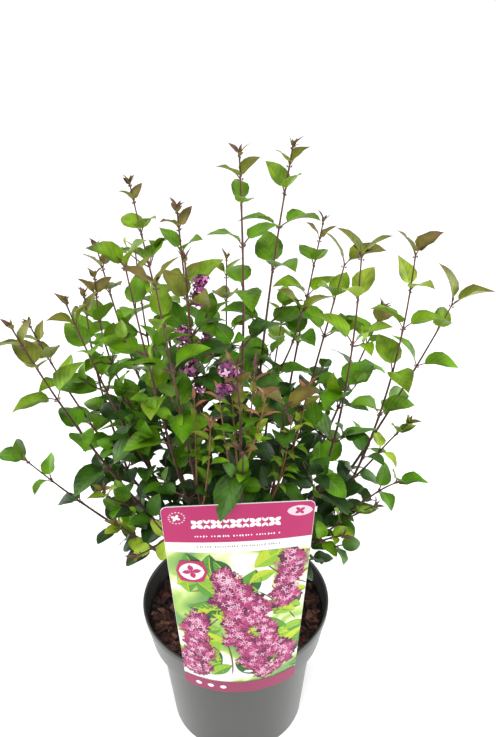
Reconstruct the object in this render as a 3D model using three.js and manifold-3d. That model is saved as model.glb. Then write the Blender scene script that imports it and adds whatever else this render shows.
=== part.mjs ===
// A young lilac bush in its nursery pot: millimetres, +Z up, origin at the centre of the pot's underside.
// The pot, the soil, the picture card and the short woody trunk are solids of their own. Boughs leave the
// trunk in rings, and each one ends where it enters a mass of shoots, twigs, leaves and blossom.

import * as THREE from "three";
import { mergeVertices } from "three/addons/utils/BufferGeometryUtils.js";
import Module from "manifold-3d";

const wasm = await Module();
wasm.setup();

// ---------------------------------------------------------------- driving dimensions

const GAP = 0.3; // clearance between neighbouring pieces
const MERGE_DISTANCE = 0.001; // vertices closer than this are one
const NEARLY_ZERO = 1e-6;

// Pot
const RIM_RADIUS = 95;
const RIM_HEIGHT = 155;
const COLLAR_LOW = 115; // height of the collar's lower edge
const COLLAR_LOW_RADIUS = 88;
const BODY_TOP_RADIUS = 80;
const BASE_RADIUS = 69;
const WALL = 2.2;
const FLOOR_THICKNESS = 3;
const LEDGE = COLLAR_LOW + WALL; // the step inside, above the collar's lower edge
const EDGE = 1.5; // bevel of the base and the collar's lower edge
const POT_SIDES = 40;

// Soil
const SOIL_TOP = 134;

// Picture card, bent round the collar at its foot and flat at its top
const CARD_FOOT = 119;
const CARD_TOP = 366;
const CARD_FOOT_WIDTH = 112;
const CARD_TOP_WIDTH = 126;
const CARD_THICKNESS = 0.8;
const CARD_GAP = 0.42; // at its bends; the flats between them come nearer the collar
const CARD_CORNER = 6;
const CARD_LEAN = 0.045; // forward, for each unit of height above the rim
const CARD_BEARING = 3.2; // degrees round the pot from straight ahead
const CARD_COLUMNS = 12;
const CARD_LOW_ROWS = 3;
const CARD_HIGH_ROWS = 5;
const CARD_CORNER_ROWS = 3;

// Trunk
const TRUNK_HEIGHT = 46;
const TRUNK_RADIUS = 13;
const FLARE_RADIUS = 24;
const FLARE_LOBES = 5;
const FLARE_LOBE_DEPTH = 0.12; // as a share of the radius
const TRUNK_LEAN = 4;
const TRUNK_SIDES = 15;
const TRUNK_STEPS = 6;

// Boughs, stems and twigs
const RING_HEIGHTS = [150, 160, 171]; // where the boughs leave the trunk
const RING_REACHES = [4, 6, 8.5];
const RING_RADII = [3.4, 3.2, 2.8]; // of the boughs at their foot
const STEM_RADIUS = 1.8; // where a bough enters its mass
const SIDE_SHOOT_RADIUS = 1.5;
const TIP_RADIUS = 0.7;
const TWIG_RADIUS = 1.0;
const BOUGH_SIDES = 5;
const STEM_SIDES = 3;
const BOUGH_STEPS = 6;
const STEM_STEPS = 6;
const TWIG_STEPS = 2;
const SWAY = 5; // widest sideways wander of a shoot
const TANGENT_STEP = 0.001;

// Leaves: length is over stalk and blade
const LEAF_LENGTH = 41;
const LEAF_WIDTH = 23;
const LEAF_THICKNESS = 1.2;
const LEAF_WIDEST = 0.5; // place of the widest point along the leaf
const LEAF_FOLD = 0.22; // rise of the edges over the midrib
const LEAF_DROOP = 0.14; // fall of the tip, for each unit of length
const POINTED_SCALES = [0.36, 0.58, 0.8, 0.95, 1]; // leaf size from the tip of a growing shoot down
const BLUNT_SCALES = [0.88, 0.76, 0.9, 1]; // the same on a shoot that has stopped growing
const PAIR_ANGLES = [26, 44, 58, 66]; // between the leaf and its stem, from the tip down
const BLUNT_ANGLES = [42, 55, 60, 66];
const TIP_INSET = 1.5; // from the end of a shoot to its topmost pair of leaves
const FIRST_SPACING = 16; // from there to the next pair
const BLUNT_SPACING = 27;
const SPACING_GROWTH = 8;
const LARGEST_SPACING = 46;
const SPACING_LOW = 0.85; // shares of the spacing that the dice choose between
const SPACING_HIGH = 1.15;
const SCALE_LOW = 0.86; // and of a leaf's size
const SCALE_HIGH = 1.1;
const SMALL_BELOW = 280; // leaves are smallest below this height
const LARGE_ABOVE = 430; // and largest above this one
const SMALLEST = 0.8;
const LARGEST = 1.14;
const POINTED_TURN = 62; // of a pointed shoot's first pair, in degrees from the blunt shoots' one
const FIRST_TURN_SPREAD = 22; // degrees either way
const TURN_SPREAD = 12;
const ANGLE_SPREAD = 7;
const CLEAR_OF_OTHERS = 5.8; // between a leaf's points and those of another mass
const CLEAR_OF_OWN = 4.4;
const LEAF_POINTS = [ // places on a leaf, along it and across it, that stand for it
  [0.25, 0], [0.5, 0], [0.75, 0], [1, 0],
  [0.35, 0.6], [0.35, -0.6], [0.55, 0.85], [0.55, -0.85], [0.75, 0.45], [0.75, -0.45],
];
const TURNS = [0, 30, -30, 60, -60]; // a leaf in the way of something is turned, then left out
const LEAF_SEAT = 0.35; // from the stem's axis to the leaf's root inside it
const LEAF_SAG = 0.12; // how much a leaf's own weight bends it down at its root
const LEAF_LEVEL = 1; // how much leaves turn their faces to the sky
const POINT_SPACING = 5; // between the points that stand for a stem
const MARGIN = 7; // round the card, the pot and the soil
const CARD_SPACE_BACK = 76; // the card's sides lie this far ahead of the axis at the rim
const CARD_SPACE_FRONT = 116;
const FUSE_TOLERANCE = 0.05;
const TOUCH_DISTANCE = 0.005; // vertices of a join this near one another touch
const TOUCH_PART = 0.02; // and are drawn apart by this much
const FIRST_SEED = 83;
const GOLDEN_TURN = 137.5;

// Side twigs grow from the leaf axils in the crown's heart, where the pairs stand closer too
const HEART_HEIGHT = 385;
const HEART_FOOT = 74; // its reach from the axis at the rim
const HEART_FLARE = 0.26; // and how much that grows with height
const HEART_SPACING = 28;
const TWIG_CHANCE = 0.95;
const TWIG_SHORTEST = 24;
const TWIG_LONGEST = 50;
const TWIG_ANGLE = 52;
const TWIG_TURN = 25; // from the leaf below it, round the stem
const TWIG_KNEE = { out: 0.6, up: 0.4 };
const TWIG_CLEAR_FROM = 0.3; // share of its length from which a twig keeps clear of the rest
const TWIG_PAIRS = [ // the second one grows on the longer twigs only
  { share: 0.97, angle: 40, scale: 0.64 },
  { share: 0.55, angle: 60, scale: 0.76 },
];

// Blossom
const FLORET_RADIUS = 4.4;
const FLORETS_IN_TRUSS = 5;
const FLORETS_FROM = 0.35; // share of the truss's stalk
const FLORET_SEAT = 0.9; // from the stalk's axis, as a share of the floret's radius, less towards the tip
const TRUSS_OUT = 0.6; // shares of a truss's length, sideways and upwards
const TRUSS_UP = 0.8;

// Masses of foliage. Each has one bough, which leaves a ring of the trunk at the bearing called seat, runs
// towards its leading shoot's tip and ends at the share (split) of the way there. A shoot's tip is given by
// its bearing in degrees (0 is +X, 90 is +Y, away from the front), its reach from the axis and its height.
// Its knee lies at the shares out and up of the way to the tip. A side shoot leaves the leading one at the
// share fork. A blunt shoot has stopped growing: its topmost leaves are large and spread wide. A mass of late
// growth has smaller leaves by the share leafSize.
const MASSES = [
  { name: "low_left", ring: 0, seat: 192, split: 0.33, shoots: [
    { bearing: 187, reach: 184, height: 347, out: 0.55, up: 0.5, blunt: true },
    { bearing: 207, reach: 116, height: 300, fork: 0.36, out: 0.6, up: 0.6 },
  ] },
  { name: "far_left", ring: 1, seat: 200, split: 0.33, shoots: [
    { bearing: 200, reach: 176, height: 503, out: 0.62, up: 0.45 },
    { bearing: 212, reach: 128, height: 350, fork: 0.45, out: 0.7, up: 0.4 },
  ] },
  { name: "left", ring: 0, seat: 155, split: 0.33, shoots: [
    { bearing: 163, reach: 192, height: 442, out: 0.6, up: 0.45 },
    { bearing: 171, reach: 125, height: 490, fork: 0.5, out: 0.8, up: 0.35 },
  ] },
  { name: "left_upright", ring: 2, seat: 172, split: 0.3, shoots: [
    { bearing: 189, reach: 132, height: 503, out: 0.6, up: 0.42 },
    { bearing: 159, reach: 126, height: 495, fork: 0.5, out: 0.75, up: 0.4 },
  ] },
  { name: "back_left", ring: 1, seat: 143, split: 0.33, shoots: [
    { bearing: 139, reach: 165, height: 495, out: 0.6, up: 0.42 },
    { bearing: 144, reach: 102, height: 513, fork: 0.46, out: 0.6, up: 0.4 },
  ] },
  { name: "back_left_tall", ring: 2, seat: 130, split: 0.3, shoots: [
    { bearing: 129, reach: 142, height: 556, out: 0.45, up: 0.45 },
  ] },
  { name: "front_left", ring: 1, seat: 229, split: 0.33, shoots: [
    { bearing: 222, reach: 99, height: 556, out: 0.7, up: 0.4, blunt: true },
    { bearing: 226, reach: 116, height: 292, fork: 0.36, out: 0.6, up: 0.6 },
  ] },
  { name: "front_left_inner", ring: 2, seat: 246, split: 0.3, shoots: [
    { bearing: 238, reach: 96, height: 548, out: 0.7, up: 0.4, blunt: true },
  ] },
  { name: "middle_left", ring: 2, seat: 206, split: 0.28, shoots: [
    { bearing: 183, reach: 39, height: 574, out: 0.7, up: 0.5 },
    { bearing: 234, reach: 54, height: 551, fork: 0.5, out: 0.7, up: 0.4 },
  ] },
  { name: "middle", ring: 2, seat: 300, split: 0.28, shoots: [
    { bearing: 289, reach: 32, height: 628, out: 0.5, up: 0.5 },
  ] },
  { name: "middle_right", ring: 2, seat: 78, split: 0.28, shoots: [
    { bearing: 30, reach: 60, height: 614, out: 0.3, up: 0.5 },
    { bearing: 18, reach: 64, height: 470, fork: 0.45, out: 0.7, up: 0.5, blunt: true },
  ] },
  { name: "back_right", ring: 1, seat: 55, split: 0.33, shoots: [
    { bearing: 57, reach: 161, height: 507, out: 0.55, up: 0.4 },
  ] },
  { name: "right_upright", ring: 2, seat: 30, split: 0.33, shoots: [
    { bearing: 31, reach: 118, height: 497, out: 0.55, up: 0.42, blunt: true },
  ] },
  { name: "front_right", ring: 1, seat: 341, split: 0.33, shoots: [
    { bearing: 334, reach: 112, height: 555, out: 0.95, up: 0.3, blunt: true },
  ] },
  { name: "right", ring: 0, seat: 358, split: 0.33, shoots: [
    { bearing: 0, reach: 151, height: 534, out: 0.95, up: 0.3, blunt: true },
    { bearing: 346, reach: 150, height: 330, fork: 0.36, out: 0.6, up: 0.6, blunt: true },
  ] },
  { name: "far_right", ring: 1, seat: 12, split: 0.33, shoots: [
    { bearing: 17, reach: 210, height: 456, out: 0.62, up: 0.4, blunt: true },
    { bearing: 8, reach: 165, height: 352, fork: 0.42, out: 0.6, up: 0.5 },
  ] },
  { name: "far_back_right", ring: 0, seat: 42, split: 0.33, shoots: [
    { bearing: 37, reach: 184, height: 426, out: 0.62, up: 0.5 },
  ] },
  { name: "low_right", ring: 0, seat: 294, split: 0.45, shoots: [
    { bearing: 322, reach: 120, height: 302, out: 0.5, up: 0.7 },
    { bearing: 337, reach: 134, height: 316, fork: 0.5, out: 0.5, up: 0.6 },
  ] },
  { name: "front", ring: 1, seat: 281, split: 0.36, leafSize: 0.62, shoots: [
    { bearing: 274, reach: 100, height: 490, out: 0.7, up: 0.5 },
    { bearing: 276, reach: 97, height: 410, fork: 0.4, out: 0.7, up: 0.4, blunt: true },
  ] },
  { name: "front_right_inner", ring: 2, seat: 343, split: 0.36, shoots: [
    { bearing: 306, reach: 76, height: 428, out: 0.6, up: 0.45, blunt: true },
  ] },
  { name: "back", ring: 1, seat: 97, split: 0.33, shoots: [
    { bearing: 92, reach: 140, height: 468, out: 0.6, up: 0.42 },
  ] },
  { name: "low_back_left", ring: 0, seat: 115, split: 0.36, shoots: [
    { bearing: 114, reach: 176, height: 412, out: 0.6, up: 0.45 },
  ] },
  { name: "low_back_right", ring: 0, seat: 78, split: 0.36, shoots: [
    { bearing: 72, reach: 174, height: 404, out: 0.6, up: 0.45 },
  ] },
];

// Trusses of blossom: on the shoot of a mass (by its place in the list), at the share of its length
const TRUSSES = [
  { mass: "middle_left", shoot: 1, share: 0.8, bearing: 20, length: 26 },
  { mass: "middle_left", shoot: 1, share: 0.6, bearing: 215, length: 22 },
  { mass: "middle_left", shoot: 1, share: 0.38, bearing: 250, length: 24 },
  { mass: "middle_left", shoot: 0, share: 0.68, bearing: 350, length: 28 },
  { mass: "front", shoot: 0, share: 0.93, bearing: 150, length: 24 },
];

// ---------------------------------------------------------------- finishes

const plain = (color, roughness) => new THREE.MeshStandardMaterial({ color, roughness, metalness: 0 });
const POT_GREY = plain(0x777974, 0.55);
const BARK_CHIPS = plain(0x3a221b, 0.95);
const CARD_PRINT = plain(0xc5447f, 0.45);
const BARK = plain(0x5b4a40, 0.85);
const FOLIAGE = plain(0x3f7a2c, 0.6);

// ---------------------------------------------------------------- helpers

const lerp = (from, to, share) => from + (to - from) * share;
const radians = (degrees) => (degrees * Math.PI) / 180;
const point = (x, y, z) => new THREE.Vector3(x, y, z);
const polar = (bearing, reach, height) =>
  point(reach * Math.cos(radians(bearing)), reach * Math.sin(radians(bearing)), height);

// A run of numbers between 0 and 1 that is the same each time for the same seed.
class Dice {
  constructor(seed) {
    this.state = seed >>> 0;
  }
  next() {
    this.state = (Math.imul(this.state, 1664525) + 1013904223) >>> 0;
    return this.state / 4294967296;
  }
  between(low, high) {
    return lerp(low, high, this.next());
  }
}

function toSolid(geometry) {
  const bare = geometry.clone();
  bare.deleteAttribute("normal");
  bare.deleteAttribute("uv");
  const merged = mergeVertices(bare, MERGE_DISTANCE);
  const vertProperties = new Float32Array(merged.attributes.position.array);
  const triVerts = new Uint32Array(merged.index.array);
  return new wasm.Manifold(new wasm.Mesh({ numProp: 3, vertProperties, triVerts }));
}

function toGeometry(solid) {
  const mesh = solid.getMesh();
  const geometry = new THREE.BufferGeometry();
  geometry.setAttribute("position", new THREE.BufferAttribute(new Float32Array(mesh.vertProperties), 3));
  geometry.setIndex(new THREE.BufferAttribute(new Uint32Array(mesh.triVerts), 1));
  geometry.computeVertexNormals();
  return geometry;
}

function moveVertices(geometry, place) {
  const positions = geometry.attributes.position;
  const vertex = new THREE.Vector3();
  for (let i = 0; i < positions.count; i += 1) {
    vertex.fromBufferAttribute(positions, i);
    const moved = place(vertex);
    positions.setXYZ(i, moved.x, moved.y, moved.z);
  }
  return geometry;
}

function turned(outline, sides) {
  const profile = outline.map(([radius, height]) => new THREE.Vector2(radius, height));
  return new THREE.LatheGeometry(profile, sides).rotateX(Math.PI / 2);
}

// ---------------------------------------------------------------- pot, soil and card

function collarRadius(height) {
  return lerp(COLLAR_LOW_RADIUS, RIM_RADIUS, (height - COLLAR_LOW) / (RIM_HEIGHT - COLLAR_LOW));
}

function potGeometry() {
  return turned([
    [0, 0],
    [BASE_RADIUS - EDGE, 0],
    [BASE_RADIUS, EDGE],
    [BODY_TOP_RADIUS, COLLAR_LOW],
    [COLLAR_LOW_RADIUS - EDGE, COLLAR_LOW],
    [collarRadius(COLLAR_LOW + EDGE), COLLAR_LOW + EDGE],
    [collarRadius(RIM_HEIGHT - EDGE / 2), RIM_HEIGHT - EDGE / 2],
    [RIM_RADIUS - EDGE / 2, RIM_HEIGHT],
    [RIM_RADIUS - WALL, RIM_HEIGHT],
    [COLLAR_LOW_RADIUS - WALL, LEDGE],
    [BODY_TOP_RADIUS - WALL, LEDGE],
    [BASE_RADIUS - WALL, FLOOR_THICKNESS],
    [0, FLOOR_THICKNESS],
  ], POT_SIDES);
}

function soilGeometry() {
  const inset = WALL + GAP;
  const slope = (RIM_RADIUS - COLLAR_LOW_RADIUS) / (RIM_HEIGHT - LEDGE);
  return turned([
    [0, FLOOR_THICKNESS + GAP],
    [BASE_RADIUS - inset, FLOOR_THICKNESS + GAP],
    [BODY_TOP_RADIUS - inset, LEDGE + GAP],
    [COLLAR_LOW_RADIUS - inset, LEDGE + GAP],
    [COLLAR_LOW_RADIUS - inset + slope * (SOIL_TOP - LEDGE), SOIL_TOP],
    [0, SOIL_TOP],
  ], POT_SIDES);
}

// Heights of the card's rows, and the width it loses to its round top corners at each of them.
function cardRows() {
  const rows = [];
  for (let i = 0; i <= CARD_LOW_ROWS; i += 1) {
    rows.push({ height: lerp(CARD_FOOT, RIM_HEIGHT, i / CARD_LOW_ROWS), cut: 0 });
  }
  for (let i = 1; i <= CARD_HIGH_ROWS; i += 1) {
    rows.push({ height: lerp(RIM_HEIGHT, CARD_TOP - CARD_CORNER, i / CARD_HIGH_ROWS), cut: 0 });
  }
  for (let i = 1; i <= CARD_CORNER_ROWS; i += 1) {
    const turn = radians((90 * i) / CARD_CORNER_ROWS);
    rows.push({
      height: CARD_TOP - CARD_CORNER + CARD_CORNER * Math.sin(turn),
      cut: CARD_CORNER * (1 - Math.cos(turn)),
    });
  }
  return rows;
}

// Across the card runs an arc, round the collar up to the rim and then ever flatter up to the top.
function cardGeometry() {
  const rows = cardRows();
  const last = rows.length - 1;
  const sheet = new THREE.BoxGeometry(2, 1, 1, CARD_COLUMNS, last, 1);
  return moveVertices(sheet, (vertex) => {
    const { height, cut } = rows[Math.round((vertex.y + 0.5) * last)];
    const rise = Math.max(0, height - RIM_HEIGHT);
    const ahead = collarRadius(Math.min(height, RIM_HEIGHT)) + CARD_GAP + CARD_THICKNESS / 2;
    const curvature = (1 - rise / (CARD_TOP - RIM_HEIGHT)) / ahead;
    const share = (height - CARD_FOOT) / (CARD_TOP - CARD_FOOT);
    const across = vertex.x * (lerp(CARD_FOOT_WIDTH, CARD_TOP_WIDTH, share) / 2 - cut);
    const angle = across * curvature;
    const flat = curvature < NEARLY_ZERO;
    const sideways = flat ? across : Math.sin(angle) / curvature;
    const back = flat ? 0 : (1 - Math.cos(angle)) / curvature;
    const depth = vertex.z * CARD_THICKNESS;
    return point(
      sideways + depth * Math.sin(angle),
      back - ahead - rise * CARD_LEAN - depth * Math.cos(angle),
      height,
    );
  });
}

// ---------------------------------------------------------------- trunk and limbs

function trunkGeometry(grown) {
  const rod = new THREE.CylinderGeometry(1, 1, 1, TRUNK_SIDES, TRUNK_STEPS).rotateX(Math.PI / 2);
  return moveVertices(rod, (vertex) => {
    const share = vertex.z + 0.5;
    const flare = (FLARE_RADIUS - TRUNK_RADIUS) * (1 - share) ** 3;
    const wave = Math.cos(FLARE_LOBES * Math.atan2(vertex.y, vertex.x));
    const lobes = 1 + FLARE_LOBE_DEPTH * (1 - share) * wave;
    const radius = (TRUNK_RADIUS + flare) * lobes + grown;
    return point(
      vertex.x * radius + TRUNK_LEAN * share,
      vertex.y * radius,
      SOIL_TOP + GAP + share * (TRUNK_HEIGHT + grown),
    );
  });
}

// From a foot to a tip by way of a knee, with a small wander sideways.
class ShootCurve extends THREE.Curve {
  constructor(foot, tip, shoot, sway) {
    super();
    this.bend = new THREE.QuadraticBezierCurve3(
      foot,
      point(lerp(foot.x, tip.x, shoot.out), lerp(foot.y, tip.y, shoot.out), lerp(foot.z, tip.z, shoot.up)),
      tip,
    );
    this.side = point(foot.y - tip.y, tip.x - foot.x, 0).normalize();
    this.sway = sway;
  }
  getPoint(share) {
    return this.bend.getPoint(share).addScaledVector(this.side, this.sway * Math.sin(2 * Math.PI * share));
  }
  getTangent(share) {
    return this.getPoint(share + TANGENT_STEP).sub(this.getPoint(share - TANGENT_STEP)).normalize();
  }
  length() {
    return this.getPoint(0).distanceTo(this.getPoint(0.5)) + this.getPoint(0.5).distanceTo(this.getPoint(1));
  }
}

// A tapering rod along the stretch of a curve, built across the curve's side vector.
function rodGeometry(curve, from, to, footRadius, tipRadius, sides, steps) {
  const rod = new THREE.CylinderGeometry(1, 1, 1, sides, steps);
  return moveVertices(rod, (vertex) => {
    const share = vertex.y + 0.5;
    const place = lerp(from, to, share);
    const radius = lerp(footRadius, tipRadius, share);
    const third = curve.side.clone().cross(curve.getTangent(place));
    return curve.getPoint(place)
      .addScaledVector(curve.side, vertex.x * radius)
      .addScaledVector(third, vertex.z * radius);
  });
}

// ---------------------------------------------------------------- the crown's plan

// Points that later leaves and twigs keep clear of, with the mass that each belongs to.
const taken = [];

function take(points, owner, isStem) {
  points.forEach((place) => taken.push({ place, owner, isStem }));
}

// The card, the pot and the soil keep a margin round them free.
function isOutside(p) {
  const behindCard = p.y > MARGIN - CARD_SPACE_BACK;
  const beforeCard = p.y < -CARD_SPACE_FRONT;
  const besideCard = Math.abs(p.x) > CARD_TOP_WIDTH / 2 + MARGIN || p.z > CARD_TOP + MARGIN;
  const clearOfPot = p.z > RIM_HEIGHT + MARGIN || Math.hypot(p.x, p.y) < COLLAR_LOW_RADIUS - MARGIN;
  return (behindCard || beforeCard || besideCard) && clearOfPot && p.z > SOIL_TOP + MARGIN;
}

function isFree(points, owner) {
  if (!points.every(isOutside)) {
    return false;
  }
  return taken.every((other) => {
    const own = other.owner === owner;
    const clear = own ? CLEAR_OF_OWN : CLEAR_OF_OTHERS;
    return (own && other.isStem) || points.every((p) => p.distanceTo(other.place) > clear);
  });
}

function curvePoints(curve, from, to) {
  const count = Math.max(2, Math.ceil((curve.length() * (to - from)) / POINT_SPACING));
  return Array.from({ length: count + 1 }, (_, i) => curve.getPoint(lerp(from, to, i / count)));
}

// A leaf stands on its stem at a root, at an angle to the stem's axis, on the side called away.
function makeLeaf(root, axis, away, angle, scale) {
  const length = LEAF_LENGTH * scale;
  const direction = axis.clone().multiplyScalar(Math.cos(radians(angle)))
    .addScaledVector(away, Math.sin(radians(angle)));
  direction.z -= LEAF_SAG * scale;
  direction.normalize();
  const normal = axis.clone().add(point(0, 0, LEAF_LEVEL));
  normal.addScaledVector(direction, -normal.dot(direction)).normalize();
  const across = normal.clone().cross(direction);
  const seat = root.clone().addScaledVector(away, LEAF_SEAT);
  return { root: seat, direction, normal, across, length, width: LEAF_WIDTH * scale };
}

// A place on the leaf: along and across are shares of its length and half width.
function onLeaf(leaf, along, across) {
  const fold = Math.abs(across) * LEAF_FOLD * leaf.width / 2;
  return leaf.root.clone()
    .addScaledVector(leaf.direction, along * leaf.length)
    .addScaledVector(leaf.across, (across * leaf.width) / 2)
    .addScaledVector(leaf.normal, fold - LEAF_DROOP * along * along * leaf.length);
}

function leafPoints(leaf) {
  return LEAF_POINTS.map(([along, across]) => onLeaf(leaf, along, across));
}

// The vector across the curve at a place, turned by an angle round its axis.
function awayFrom(curve, axis, turn) {
  const third = curve.side.clone().cross(axis);
  return curve.side.clone().multiplyScalar(Math.cos(radians(turn)))
    .addScaledVector(third, Math.sin(radians(turn)));
}

// The turn at which a leaf at the curve's tip points along X.
function sidewaysTurn(curve) {
  const third = curve.side.clone().cross(curve.getTangent(1));
  return (Math.atan2(third.x, curve.side.x) * 180) / Math.PI;
}

// Leaves stand in pairs, each pair a quarter turn on from the last.
function addPair(mass, curve, share, turn, angle, scale) {
  const root = curve.getPoint(share);
  const axis = curve.getTangent(share);
  [0, 180].forEach((opposite) => {
    const tries = TURNS.map((extra) =>
      makeLeaf(root, axis, awayFrom(curve, axis, turn + opposite + extra), angle, scale));
    const leaf = tries.find((one) => isFree(leafPoints(one), mass.index));
    if (leaf) {
      take(leafPoints(leaf), mass.index, false);
      mass.leaves.push(leaf);
    }
  });
}

// Places of the pairs, as shares of the shoot: close together at the tip and wider apart below it.
function pairShares(curve, from, firstSpacing, dice) {
  const shares = [];
  const length = curve.length();
  let distance = TIP_INSET;
  for (let k = 0; distance < length * (1 - from) - FIRST_SPACING / 2; k += 1) {
    const share = 1 - distance / length;
    const widest = inHeart(curve.getPoint(share)) ? HEART_SPACING : LARGEST_SPACING;
    shares.push(share);
    distance += Math.min(firstSpacing + SPACING_GROWTH * k, widest) * dice.between(SPACING_LOW, SPACING_HIGH);
  }
  return shares;
}

const heartReach = (height) => HEART_FOOT + HEART_FLARE * (height - RIM_HEIGHT);
const inHeart = (p) => p.z < HEART_HEIGHT && Math.hypot(p.x, p.y) < heartReach(p.z);

const fromTip = (values, k) => values[Math.min(k, values.length - 1)];

function sizeAt(height) {
  const climbed = THREE.MathUtils.clamp((height - SMALL_BELOW) / (LARGE_ABOVE - SMALL_BELOW), 0, 1);
  return lerp(SMALLEST, LARGEST, climbed);
}

function growTwig(mass, curve, share, turn, dice) {
  const root = curve.getPoint(share);
  const axis = curve.getTangent(share);
  const length = dice.between(TWIG_SHORTEST, TWIG_LONGEST);
  const spin = dice.between(0, 90);
  const tip = root.clone()
    .addScaledVector(axis, length * Math.cos(radians(TWIG_ANGLE)))
    .addScaledVector(awayFrom(curve, axis, turn), length * Math.sin(radians(TWIG_ANGLE)));
  const twig = new ShootCurve(root, tip, TWIG_KNEE, 0);
  const points = curvePoints(twig, TWIG_CLEAR_FROM, 1);
  if (!inHeart(tip) || !isFree(points, mass.index)) {
    return;
  }
  take(points, mass.index, true);
  mass.stems.push({ curve: twig, from: 0, foot: TWIG_RADIUS, steps: TWIG_STEPS });
  const isLong = length > (TWIG_SHORTEST + TWIG_LONGEST) / 2;
  TWIG_PAIRS.slice(0, isLong ? 2 : 1).forEach((pair, k) => {
    addPair(mass, twig, pair.share, spin + 90 * k, pair.angle, pair.scale);
  });
}

function growTruss(mass, truss) {
  const curve = mass.curves[truss.shoot];
  const root = curve.getPoint(truss.share);
  const tip = root.clone().add(polar(truss.bearing, truss.length * TRUSS_OUT, truss.length * TRUSS_UP));
  const stalk = new ShootCurve(root, tip, TWIG_KNEE, 0);
  mass.stems.push({ curve: stalk, from: 0, foot: TWIG_RADIUS, steps: TWIG_STEPS });
  for (let k = 0; k < FLORETS_IN_TRUSS; k += 1) {
    const share = lerp(FLORETS_FROM, 1, k / (FLORETS_IN_TRUSS - 1));
    const away = awayFrom(stalk, stalk.getTangent(share), GOLDEN_TURN * k);
    const seat = FLORET_RADIUS * FLORET_SEAT * (1 - share);
    mass.florets.push(stalk.getPoint(share).addScaledVector(away, seat));
  }
  take(mass.florets.slice(-FLORETS_IN_TRUSS), mass.index, false);
}

function planMass(plan, index) {
  const dice = new Dice(FIRST_SEED + index);
  const ringHeight = RING_HEIGHTS[plan.ring];
  const lean = (TRUNK_LEAN * (ringHeight - SOIL_TOP)) / TRUNK_HEIGHT;
  const seat = polar(plan.seat, RING_REACHES[plan.ring], ringHeight).add(point(lean, 0, 0));
  const curves = [];
  plan.shoots.forEach((shoot) => {
    const foot = shoot.fork === undefined ? seat : curves[0].getPoint(shoot.fork);
    const tip = polar(shoot.bearing, shoot.reach, shoot.height);
    curves.push(new ShootCurve(foot, tip, shoot, dice.between(-SWAY, SWAY)));
  });
  const stemFrom = plan.split + GAP / curves[0].length();
  const stems = curves.map((curve, i) => ({
    curve,
    from: i === 0 ? stemFrom : 0,
    foot: i === 0 ? STEM_RADIUS : SIDE_SHOOT_RADIUS,
    steps: STEM_STEPS,
  }));
  curves.forEach((curve) => take(curvePoints(curve, 0, 1), index, true));
  return { ...plan, index, dice, curves, stemFrom, stems, leaves: [], florets: [] };
}

function planCrown() {
  const masses = MASSES.map(planMass);
  TRUSSES.forEach((truss) => growTruss(masses.find((mass) => mass.name === truss.mass), truss));
  masses.forEach((mass) => {
    mass.nodes = [];
    mass.curves.forEach((curve, i) => {
      const { blunt } = mass.shoots[i];
      const spread = mass.dice.between(-FIRST_TURN_SPREAD, FIRST_TURN_SPREAD);
      const first = sidewaysTurn(curve) + (blunt ? 0 : POINTED_TURN) + spread;
      const spacing = blunt ? BLUNT_SPACING : FIRST_SPACING;
      pairShares(curve, i === 0 ? mass.stemFrom : 0, spacing, mass.dice).forEach((share, k) => {
        const turn = first + 90 * k + mass.dice.between(-TURN_SPREAD, TURN_SPREAD);
        const tilt = mass.dice.between(-ANGLE_SPREAD, ANGLE_SPREAD);
        const angle = fromTip(blunt ? BLUNT_ANGLES : PAIR_ANGLES, k) + tilt;
        const luck = mass.dice.between(SCALE_LOW, SCALE_HIGH);
        const growth = luck * (mass.leafSize ?? 1) * sizeAt(curve.getPoint(share).z);
        const scale = fromTip(blunt ? BLUNT_SCALES : POINTED_SCALES, k) * growth;
        addPair(mass, curve, share, turn, angle, scale);
        mass.nodes.push({ curve, share, turn });
      });
    });
  });
  masses.forEach((mass) => {
    mass.nodes.forEach(({ curve, share, turn }) => {
      [0, 180].forEach((opposite) => {
        const lucky = mass.dice.next() < TWIG_CHANCE;
        if (lucky && inHeart(curve.getPoint(share))) {
          growTwig(mass, curve, share, turn + opposite + TWIG_TURN, mass.dice);
        }
      });
    });
  });
  return masses;
}

// ---------------------------------------------------------------- solids of the crown

function leafSolid(leaf) {
  const blank = new THREE.OctahedronGeometry(1, 0);
  return toSolid(moveVertices(blank, (vertex) => {
    const along = Math.abs(vertex.x) < 0.5 ? LEAF_WIDEST : (vertex.x + 1) / 2;
    return onLeaf(leaf, along, vertex.y).addScaledVector(leaf.normal, (vertex.z * LEAF_THICKNESS) / 2);
  }));
}

function floretSolid(place) {
  return toSolid(new THREE.OctahedronGeometry(FLORET_RADIUS, 0).translate(place.x, place.y, place.z));
}

function boughSolid(mass, trunkSpace) {
  const foot = RING_RADII[mass.ring];
  const rod = rodGeometry(mass.curves[0], 0, mass.split, foot, STEM_RADIUS, BOUGH_SIDES, BOUGH_STEPS);
  return largest(toSolid(rod).subtract(trunkSpace));
}

// What a join leaves loose, holds by less than a hair or seals inside is dropped.
function largest(solid) {
  const settled = toSolid(toGeometry(solid)).simplify(FUSE_TOLERANCE);
  return settled.decompose().reduce((best, one) => (one.volume() > best.volume() ? one : best));
}

// Where surfaces of a join touch one another, each is drawn a little into its own side of the solid.
function drawApart(geometry) {
  const { position, normal } = geometry.attributes;
  const taken = new Set();
  for (let i = 0; i < position.count; i += 1) {
    const vertex = new THREE.Vector3().fromBufferAttribute(position, i);
    const place = vertex.toArray().map((value) => Math.round(value / TOUCH_DISTANCE)).join();
    if (taken.has(place)) {
      vertex.addScaledVector(new THREE.Vector3().fromBufferAttribute(normal, i), -TOUCH_PART);
      position.setXYZ(i, vertex.x, vertex.y, vertex.z);
    }
    taken.add(place);
  }
  return geometry;
}

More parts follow.
